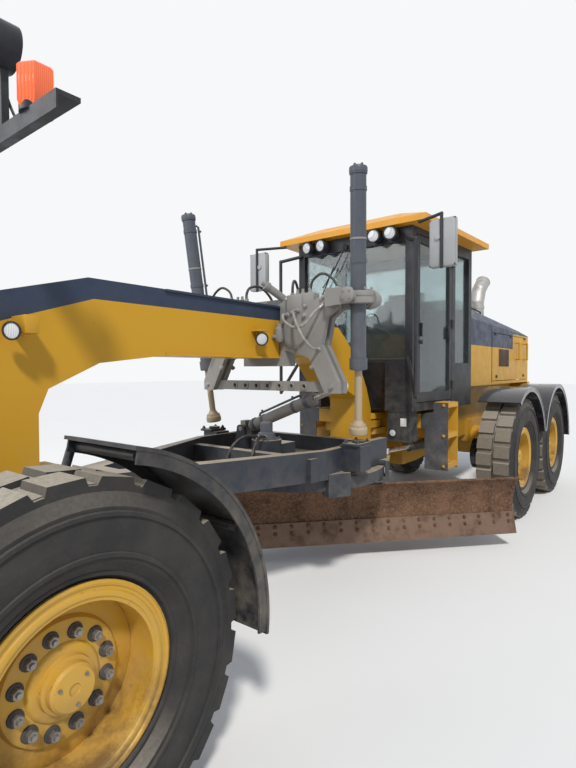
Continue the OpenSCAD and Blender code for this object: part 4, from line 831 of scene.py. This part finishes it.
# %% Lock pin and link bar
LOCK_CYLINDER = [(0, 0), (0.030, 0), (0.030, 0.150), (0.036, 0.152), (0.036, 0.180), (0.016, 0.186),
                 (0.016, 0.215), (0, 0.216)]
LINK_BOSS = [(0.0175, 0), (0.030, 0), (0.030, 0.008), (0.0175, 0.010)]
link_pitch = 0.12
LOCK_SWITCH = [(0, -0.01), (0.020, -0.01), (0.034, 0.01), (0.034, 0.090), (0.024, 0.104), (0.024, 0.128),
               (0, 0.130)]
bm = bmesh.new()
add_turned(bm, (1.530, 0.190, 2.225), (0.75, -0.35, 0.5), LOCK_CYLINDER, 24)
add_turned(bm, (1.600, 0.200, 1.900), (0, 0, 1), LOCK_SWITCH, 24)
add_box(bm, (1.545, 0.150, 1.920), (1.640, 0.200, 1.945), 0.004)
finish_piece("lock_pin_cylinder", bm, pale_metal, "front")
bm = bmesh.new()
for i in range(-3, 4):
    for x, out_x in ((1.452, -1), (1.498, 1)):
        add_turned(bm, (x, i*link_pitch, 1.555), (out_x, 0, 0), LINK_BOSS, 20)
finish_piece("link_bar_bosses", bm, pale_metal, "front")
print("link bar done")

# %% [markdown]
# ## Blade edge
# The cutting edge is bolted on, because it wears out and is changed. The
# bolts stand in two rows along the blade, at the same spacing, and are as
# rusty as the plate. The blade's own axes are turned from the machine's.

# %% Blade
turn, lean = math.radians(48), math.radians(16)
edge_back, edge_z = -0.097, 0.268
bolt_pitch, bolts_each_way, bolt_rows = 0.148, 14, (-0.020, 0.040)
curve_r, curve_x, curve_z, blade_end = 0.413, 0.300, 0.382, 2.095
rise = Vector((0, 0, 1))
ahead = Vector((math.cos(turn), math.sin(turn), 0))
along = Vector((-math.sin(turn), math.cos(turn), 0))
circle_centre = Vector((1.170, 0, 0))
face = ahead*math.cos(lean) + rise*math.sin(lean)
climb = ahead*-math.sin(lean) + rise*math.cos(lean)
edge = circle_centre + ahead*edge_back + rise*edge_z
bm = bmesh.new()
for i in range(-bolts_each_way, bolts_each_way + 1):
    for h in bolt_rows:
        add_nut(bm, edge + along*(bolt_pitch*i) + climb*h + face*0.0185, face, 0.028, 0.010, 0.019)
finish_piece("edge_bolts", bm, rust, "blade", smooth=False)
bm = bmesh.new()
for end in (-1, 1):
    for k in range(6):
        u, v = polar(curve_r, -10 + 10*k)
        at = circle_centre + ahead*(curve_x - u) + rise*(curve_z + v) + along*(end*blade_end)
        add_nut(bm, at, ahead*u - rise*v, 0.026, 0.008, 0.018)
finish_piece("blade_end_bolts", bm, rust, "blade", smooth=False)
print("edge bolts", (2*bolts_each_way + 1)*len(bolt_rows))

# %% [markdown]
# ## Seat
# The seat's cushions are foam under fabric, so they are crowned forms with
# pulled-in corners. A cube is divided finely, and one formula moves its
# points and sinks two sewn channels into it. Both cushions are made by the
# same function.

# %% Seat
def add_cushion(name, lo, hi, crown, tilt, on):
    """A crowned cushion with pulled-in corners and two sewn channels."""
    lo, hi = Vector(lo), Vector(hi)
    seam_depth, seam_width, seam_at = 0.10, 0.07, 0.42

    def bulge(a, b):
        return math.sqrt(max(0, 1 - a*a/2.6 - b*b/2.6 + a*a*b*b/6))

    bm = bmesh.new()
    bmesh.ops.create_cube(bm, size=2.0)
    bmesh.ops.subdivide_edges(bm, edges=bm.edges, cuts=15, use_grid_fill=True)
    for v in bm.verts:
        x, y, z = v.co
        seam = 1 - seam_depth*sum(math.exp(-((y - c)/seam_width)**2) for c in (-seam_at, seam_at))
        v.co = Vector((x*(0.86 + 0.14*bulge(y, z)), y*(0.86 + 0.14*bulge(x, z)),
                       z*(0.55 + crown*bulge(x, y))*seam))
    bmesh.ops.scale(bm, vec=(hi - lo)/2, verts=bm.verts)
    bmesh.ops.rotate(bm, cent=(0, 0, 0), matrix=Matrix.Rotation(tilt, 3, "Y"), verts=bm.verts)
    bmesh.ops.translate(bm, vec=(lo + hi)/2, verts=bm.verts)
    obj = finish_piece(name, bm, fabric, on)


add_cushion("seat_cushion", (-0.880, -0.250, 1.815), (-0.380, 0.250, 1.935), 0.45, 0.04, "rear")
add_cushion("seat_back", (-1.290, -0.225, 2.140), (-0.670, 0.225, 2.260), 0.45, math.radians(-81), "rear")
print("seat done")

# %% [markdown]
# ## Steering wheel and levers
# Through the glass one sees a steering wheel and two rows of short levers.
# The grip is a small ring of points spun round a tilted axis. The spokes
# and levers are rods laid along two or three points.

# %% Steering wheel and levers
wheel_at, wheel_axis = Vector((-0.188, 0, 2.088)), Vector((-0.35, 0, 0.94)).normalized()
wheel_r, grip_r = 0.190, 0.015
bm = bmesh.new()
ring = [(wheel_r + grip_r*math.cos(t*math.pi/5), grip_r*math.sin(t*math.pi/5)) for t in range(10)]
add_turned(bm, wheel_at, wheel_axis, ring, 40)
add_turned(bm, wheel_at, wheel_axis,
           [(0, -0.02), (0.045, -0.02), (0.050, 0.0), (0.040, 0.018), (0, 0.022)], 24)
for a in (0, 120, 240):
    spoke = Matrix.Rotation(math.radians(a), 3, wheel_axis) @ Vector((0.94, 0, 0.35)).normalized()
    add_hose(bm, [wheel_at + spoke*0.03, wheel_at + spoke*0.195], 0.010, 8, rounded=False)
KNOB = [(0, 0), (0.011, 0.002), (0.016, 0.018), (0.014, 0.034), (0, 0.040)]
for s in (1, -1):
    for k in range(4):
        base = Vector((-0.420 - 0.075*k, s*0.345, 1.980))
        add_hose(bm, [base, base + Vector((0.012, 0, 0.060)), base + Vector((0.03, 0, 0.115))], 0.006, 8)
        add_turned(bm, base + Vector((0.03, 0, 0.110)), (0.2, 0, 1), KNOB, 14)
finish_piece("wheel_and_levers", bm, trim, "rear")
print("steering wheel done")

# %% [markdown]
# ## Mirrors and door handles
# Mirrors, handles and hinges make the panes look like windows and doors.
# The handles and hinges ride on their doors and swing with them. A door's
# side isn't quite parallel to the machine, so a function gives its place.

# %% Mirrors and door handles
mirror_y = 1.020
door_hinge_x, grip_x, lock_x = -0.633, -0.560, 0.060


def door_y(x):
    """The outside of a door, which widens toward the back of the cab."""
    return 0.650 + (0.220 - x)/1.370*0.075


for s, side in SIDES:
    bm = bmesh.new()
    add_box(bm, (0.404, s*mirror_y - 0.118, 2.530), (0.474, s*mirror_y + 0.118, 2.940), 0.030)
    add_turned(bm, (0.480, s*0.985, 2.780), (1, 0, 0),
               [(0, -0.02), (0.024, -0.02), (0.024, 0.006), (0, 0.010)], 16)
    finish_piece("mirror_shell_" + side, bm, mirror_shell, "rear")
    bm = bmesh.new()
    add_box(bm, (0.396, s*mirror_y - 0.100, 2.550), (0.403, s*mirror_y + 0.100, 2.920), 0.002)
    finish_piece("mirror_glass_" + side, bm, mirror_face, "rear")
    bm = bmesh.new()
    for x in (grip_x, lock_x):
        y = s*(door_y(x) + 0.004)
        add_box(bm, (x - 0.012, y - 0.012, 1.990), (x + 0.012, y + 0.012, 2.120), 0.005)
    lock = [(0, 0), (0.022, 0), (0.022, 0.012), (0.015, 0.016), (0, 0.017)]
    add_turned(bm, (lock_x, s*(door_y(lock_x) + 0.002), 1.940), (0, s, 0), lock, 18)
    for z in (1.520, 2.150, 2.780):
        at = (door_hinge_x, s*(door_y(door_hinge_x) + 0.010), z - 0.045)
        add_turned(bm, at, (0, 0, 1), pin(0.014, 0, 0.090), 14)
    finish_piece("door_handle_" + side, bm, trim, "cab_door_" + side)
print("mirrors and doors done")

# %% [markdown]
# ## Wiper and small plates
# The wiper is an arm and a blade that stand a little off the glass, made of
# thin rods on a round cover. A small white plate on the cab's front stays
# blank, and two thin rims close the side box.

# %% Wiper and small plates
bm = bmesh.new()
add_turned(bm, (0.222, -0.060, 2.900), (1, 0, 0),
           [(0, -0.01), (0.026, -0.01), (0.026, 0.020), (0.018, 0.026), (0, 0.028)], 18)
add_hose(bm, [(0.240, -0.060, 2.900), (0.246, -0.180, 2.700), (0.238, -0.330, 2.520)], 0.006, 8,
         rounded=False)
add_hose(bm, [(0.232, -0.200, 2.720), (0.231, -0.400, 2.340)], 0.008, 6, rounded=False)
add_box(bm, (0.216, -0.580, 1.772), (0.224, 0.580, 1.790), 0.002)
finish_piece("front_wiper", bm, trim, "rear")
bm = bmesh.new()
add_box(bm, (0.214, 0.530, 1.150), (0.221, 0.590, 1.225), 0.002)
for y in (0.540, 0.580):
    add_nut(bm, (0.220, y, 1.214), (1, 0, 0), 0.008, 0.004)
finish_piece("blank_plate", bm, white_plate, "rear")
bm = bmesh.new()
for z in (1.006, 1.284):
    add_box(bm, (0.036, 0.402, z - 0.006), (0.219, 0.618, z + 0.006), 0.003)
finish_piece("side_box_rims", bm, trim, "rear")
print("wiper done")

# %% [markdown]
# ## Hood
# Sheet panels meet in narrow seams, and they show as dark lines. A real gap
# would have to be cut into the CAD node, so thin dark blocks stand for it.
# The louvres and latches ride on the engine doors.

# %% Hood
hood_side, rail_y, rail_front, rail_back = 0.600, 0.400, -1.420, -2.480


def hood_top(x):
    """The height of the hood, which falls toward the back."""
    return 2.490 - 0.190*(-1.210 - x)/3.020


bm = bmesh.new()
for s in (1, -1):
    for x in (-2.330, -2.338):
        add_box(bm, (x, s*hood_side - 0.003, 1.500), (x + 0.004, s*hood_side + 0.003, 2.240), 0.001)
    ends = ((rail_front, -0.01), (rail_front, 0.050), (rail_back, 0.050), (rail_back, -0.01))
    rail = [(x, s*rail_y, hood_top(x) + high) for x, high in ends]
    add_hose(bm, rail, 0.012, 10, rounded=False)
    for x in (-4.000, -3.250, -2.500):
        add_turned(bm, (x, s*0.604, 2.150), (1, 0, 0), pin(0.012, -0.040, 0.040), 12)
finish_piece("hood_trim", bm, dark, "rear")
for s, side in SIDES:
    bm = bmesh.new()
    for x in (-3.950, -2.540):
        add_box(bm, (x - 0.030, s*0.603 - 0.006, 1.565), (x + 0.030, s*0.603 + 0.006, 1.605), 0.004)
        add_turned(bm, (x, s*0.604, 1.585), (0, s, 0), [(0, 0), (0.014, 0), (0.014, 0.010), (0, 0.012)], 14)
    for k in range(9):
        x = -3.120 + 0.055*k
        add_box(bm, (x, s*0.602 - 0.006, 1.720), (x + 0.025, s*0.602 + 0.006, 1.960), 0.004)
    finish_piece("engine_door_trim_" + side, bm, dark, "engine_door_" + side)
print("hood done")

# %% [markdown]
# ## Exhaust
# The exhaust pipe has a rolled rim and a clamp where its two parts join.
# They are rings turned on the pipe's own axis, and the rim's axis leans
# back with the bent end.

# %% Exhaust
pipe_x, pipe_y = -2.800, 0.250
bm = bmesh.new()
end = Vector((-3.070, pipe_y, 2.960))
out = Vector((-0.180, 0, 0.140)).normalized()
add_turned(bm, end, out,
           [(0.087, -0.010), (0.098, -0.012), (0.101, -0.004), (0.098, 0.004), (0.087, 0.004)], 36)
add_turned(bm, (pipe_x, pipe_y, 2.560), (0, 0, 1), sleeve(0.092, 0.102, 0.020), 36)
add_box(bm, (-2.912, 0.235, 2.545), (-2.895, 0.265, 2.575), 0.003)
flange = [(0.090, -0.030), (0.125, -0.030), (0.118, -0.008), (0.096, 0.000), (0.090, 0.000)]
add_turned(bm, (pipe_x, pipe_y, 2.430), (0, 0, 1), flange, 36)
finish_piece("exhaust_rings", bm, steel, "rear")
print("exhaust done")

# %% [markdown]
# ## Steps
# The steps have raised studs, which keep a muddy boot from slipping. One
# outline with a dimple in its top is turned at each place of a small grid.
# Two nuts hold each tread.

# %% Steps
STUD = [(0, 0), (0.011, 0), (0.008, 0.006), (0.005, 0.006), (0.004, 0.002), (0, 0.002)]
bm = bmesh.new()
treads = (0.785, 1.075, 1.365)
stud_x, stud_y, stud_pitch_x, stud_pitch_y = -0.315, 0.742, 0.050, 0.049
for s in (1, -1):
    for z in treads:
        for i in range(5):
            for j in range(3):
                # The top tread's inner row stands 2 mm further out.
                shift = 0.002 if z == treads[-1] and j == 0 else 0.0
                y = stud_y + stud_pitch_y*j + shift
                add_turned(bm, (stud_x + stud_pitch_x*i, s*y, z - 0.001), (0, 0, 1), STUD, 10)
    for z in treads:
        for x, out_x in ((-0.351, -1), (-0.079, 1)):
            add_nut(bm, (x, s*0.830, z - 0.025), (out_x, 0, 0), 0.022, 0.010, 0.016)
finish_piece("step_studs", bm, yellow, "rear")
print("steps done")

# %% [markdown]
# ## Caps of the axle and the tandems
# The pins of the front axle end in bolted caps, and so does the pivot of
# each tandem case. Each cap rides on the body whose pin it covers, so it
# stays there when a wheel leans or steers.

# %% Axle and tandem caps
KINGPIN_CAP = [(0, -0.006), (0.046, -0.006), (0.046, 0.006), (0.036, 0.014), (0, 0.015)]
TANDEM_CAP = [(0, -0.006), (0.190, -0.006), (0.190, 0.004), (0.165, 0.012), (0.080, 0.014),
              (0.070, 0.030), (0, 0.032)]
for s, side in SIDES:
    bm = bmesh.new()
    for x, out_x in ((axle_x + 0.108, 1), (axle_x - 0.108, -1)):
        for z, r in ((0.640, 0.052), (0.960, 0.038)):
            pin_cap = [(0, -0.012), (r, -0.012), (r, 0.004), (r - 0.008, 0.012), (0, 0.014)]
            add_turned(bm, (x, s*lean_pin_y, z), (out_x, 0, 0), pin_cap, 28)
            for i in range(3):
                u, v = polar(r*0.6, 120*i + 30)
                add_nut(bm, (x + out_x*0.011, s*lean_pin_y + u, z + v), (out_x, 0, 0), 0.016, 0.008)
    finish_piece("lean_pin_caps_" + side, bm, steel, "yoke_" + side)
    bm = bmesh.new()
    add_turned(bm, (axle_x, s*kingpin_y, 0.781), (0, 0, 1), KINGPIN_CAP, 28)
    for i in range(4):
        u, v = polar(0.030, 90*i)
        add_nut(bm, (axle_x + u, s*kingpin_y + v, 0.792), (0, 0, 1), 0.014, 0.008)
    finish_piece("kingpin_cap_" + side, bm, steel, "knuckle_" + side)
    bm = bmesh.new()
    add_turned(bm, (tandem_x, s*0.770, tandem_z), (0, s, 0), TANDEM_CAP, 48)
    for i in range(12):
        u, v = polar(0.178, 30*i)
        add_nut(bm, (tandem_x + u, s*0.776, tandem_z + v), (0, s, 0), 0.024, 0.014, 0.016)
    for x in (-0.41, -0.21, 0.21, 0.41):
        add_nut(bm, (tandem_x + x, s*0.769, 0.560), (0, s, 0), 0.024, 0.014, 0.016)
    finish_piece("tandem_cap_" + side, bm, gloss_dark, "tandem_" + side)
print("caps done")

# %% [markdown]
# ## Nose
# The nose holds the pin on which the front axle swings, with a cap over its
# end. Above it are four bolt holes with raised rims, so rings are turned
# round them.

# %% Nose
NOSE_CAP = [(0, -0.020), (0.062, -0.020), (0.062, 0.000), (0.048, 0.010), (0, 0.012)]
BOLT_BOSS = [(0.0135, -0.004), (0.026, -0.004), (0.026, 0.004), (0.0135, 0.005)]
bm = bmesh.new()
add_turned(bm, (3.900, 0, 0.740), (1, 0, 0), NOSE_CAP, 32)
for z in (1.150, 1.430):
    for y in (-0.110, 0.110):
        add_turned(bm, (3.980, y, z), (1, 0, 0), BOLT_BOSS, 20)
finish_piece("nose_rings", bm, steel, "front")
print("nose done")

# %% [markdown]
# ## Circle motor and lamp cable
# The motor that turns the circle stands on the drawbar, on a ring of eight
# nuts. Its two hoses end on the drawbar too, so they needn't stretch when
# it swings. A thin cable feeds the lamp on the bar.

# %% Circle motor and lamp cable
MOTOR = [(0, 0), (0.070, 0), (0.066, 0.050), (0.050, 0.062), (0.050, 0.130), (0.040, 0.140), (0, 0.142)]
bm = bmesh.new()
motor_x, motor_z = 1.520, 1.127
for a in range(0, 360, 45):
    u, v = polar(0.098, a)
    add_nut(bm, (motor_x + u, v, motor_z), (0, 0, 1), 0.024, 0.016, 0.016)
add_turned(bm, (motor_x, 0, motor_z), (0, 0, 1), MOTOR, 32)
finish_piece("circle_motor", bm, grey_barrel, "drawbar")
hose("circle_motor_hose_1",
     [(1.560, 0.030, 1.152), (1.610, 0.050, 1.160), (1.710, 0.090, 1.165), (1.800, 0.120, 1.100),
      (1.850, 0.130, 1.000), (1.860, 0.130, 0.946)], 0.012, "drawbar")
hose("circle_motor_hose_2",
     [(1.560, -0.030, 1.152), (1.610, -0.050, 1.158), (1.700, -0.090, 1.155), (1.785, -0.120, 1.090),
      (1.830, -0.130, 1.000), (1.840, -0.130, 0.946)], 0.012, "drawbar")
hose("lamp_cable_left", [(3.655, 0.420, 2.900), (3.640, 0.400, 2.860), (3.630, 0.440, 2.760),
                         (3.632, 0.500, 2.690), (3.640, 0.570, 2.650), (3.648, 0.600, 2.638)], 0.006,
     "front")
print("motor and cable done")

# %% [markdown]
# ## Floor
# A pale floor takes the machine's shadow and throws some light up under it,
# as pale ground does.

# %% Floor
bm = bmesh.new()
bmesh.ops.create_grid(bm, x_segments=1, y_segments=1, size=60.0)
mesh = bpy.data.meshes.new("floor")
bm.to_mesh(mesh)
bm.free()
floor = bpy.data.objects.new("floor", mesh)
bpy.context.scene.collection.objects.link(floor)
pale, tree, body = shader("floor", 0.9)
tree.links.new(mix(tree, noise(tree, 0.8), (0.78, 0.78, 0.77), (0.82, 0.82, 0.81)),
               body.inputs["Base Color"])
mesh.materials.append(pale)
print("floor faces", len(mesh.polygons))

# %% [markdown]
# ## World
# The backdrop is white only for the camera and for reflections, so no extra
# light falls on the paint. All other light from the world comes from a
# weaker and slightly blue sky.

# %% World
world = bpy.data.worlds.new("studio")
bpy.context.scene.world = world
world.use_nodes = True
tree = world.node_tree
sky = tree.nodes["Background"]
seen = node(tree, "ShaderNodeBackground")
seen.inputs["Color"].default_value = (0.93, 0.94, 0.95, 1.0)
seen.inputs["Strength"].default_value = 1.0
sky.inputs["Color"].default_value = (0.80, 0.87, 1.0, 1.0)
sky.inputs["Strength"].default_value = 0.55
path = node(tree, "ShaderNodeLightPath")
through = maths(tree, "MAXIMUM", path.outputs["Is Glossy Ray"], path.outputs["Is Transmission Ray"])
direct = maths(tree, "MAXIMUM", path.outputs["Is Camera Ray"], through)
choose = node(tree, "ShaderNodeMixShader")
tree.links.new(direct, choose.inputs["Fac"])
tree.links.new(sky.outputs[0], choose.inputs[1])
tree.links.new(seen.outputs[0], choose.inputs[2])
tree.links.new(choose.outputs[0], tree.nodes["World Output"].inputs["Surface"])
print("world", world.name)

# %% [markdown]
# ## Lamps of the stage
# A sun with soft edges gives the main light, from ahead on the left. A wide
# lamp ahead on the right fills the shadows, so that dark parts keep their
# form.

# %% Stage lamps
def lamp(name, kind, at, aim, energy, size, colour=(1, 1, 1)):
    data = bpy.data.lights.new(name, kind)
    data.energy = energy
    data.color = colour
    if kind == "AREA":
        data.size = size
    else:
        data.angle = size
    obj = bpy.data.objects.new(name, data)
    obj.location = at
    obj.rotation_euler = (Vector(aim) - Vector(at)).to_track_quat("-Z", "Y").to_euler()
    bpy.context.scene.collection.objects.link(obj)


lamp("sun", "SUN", (6, 5, 9), (0.5, 0, 1), 2.6, math.radians(6), (1.0, 0.97, 0.92))
lamp("fill", "AREA", (9, -4, 5), (2, 0, 1.2), 260, 5.0)
bpy.context.scene.view_settings.view_transform = "Standard"
print("stage lamps", len(bpy.data.lights))
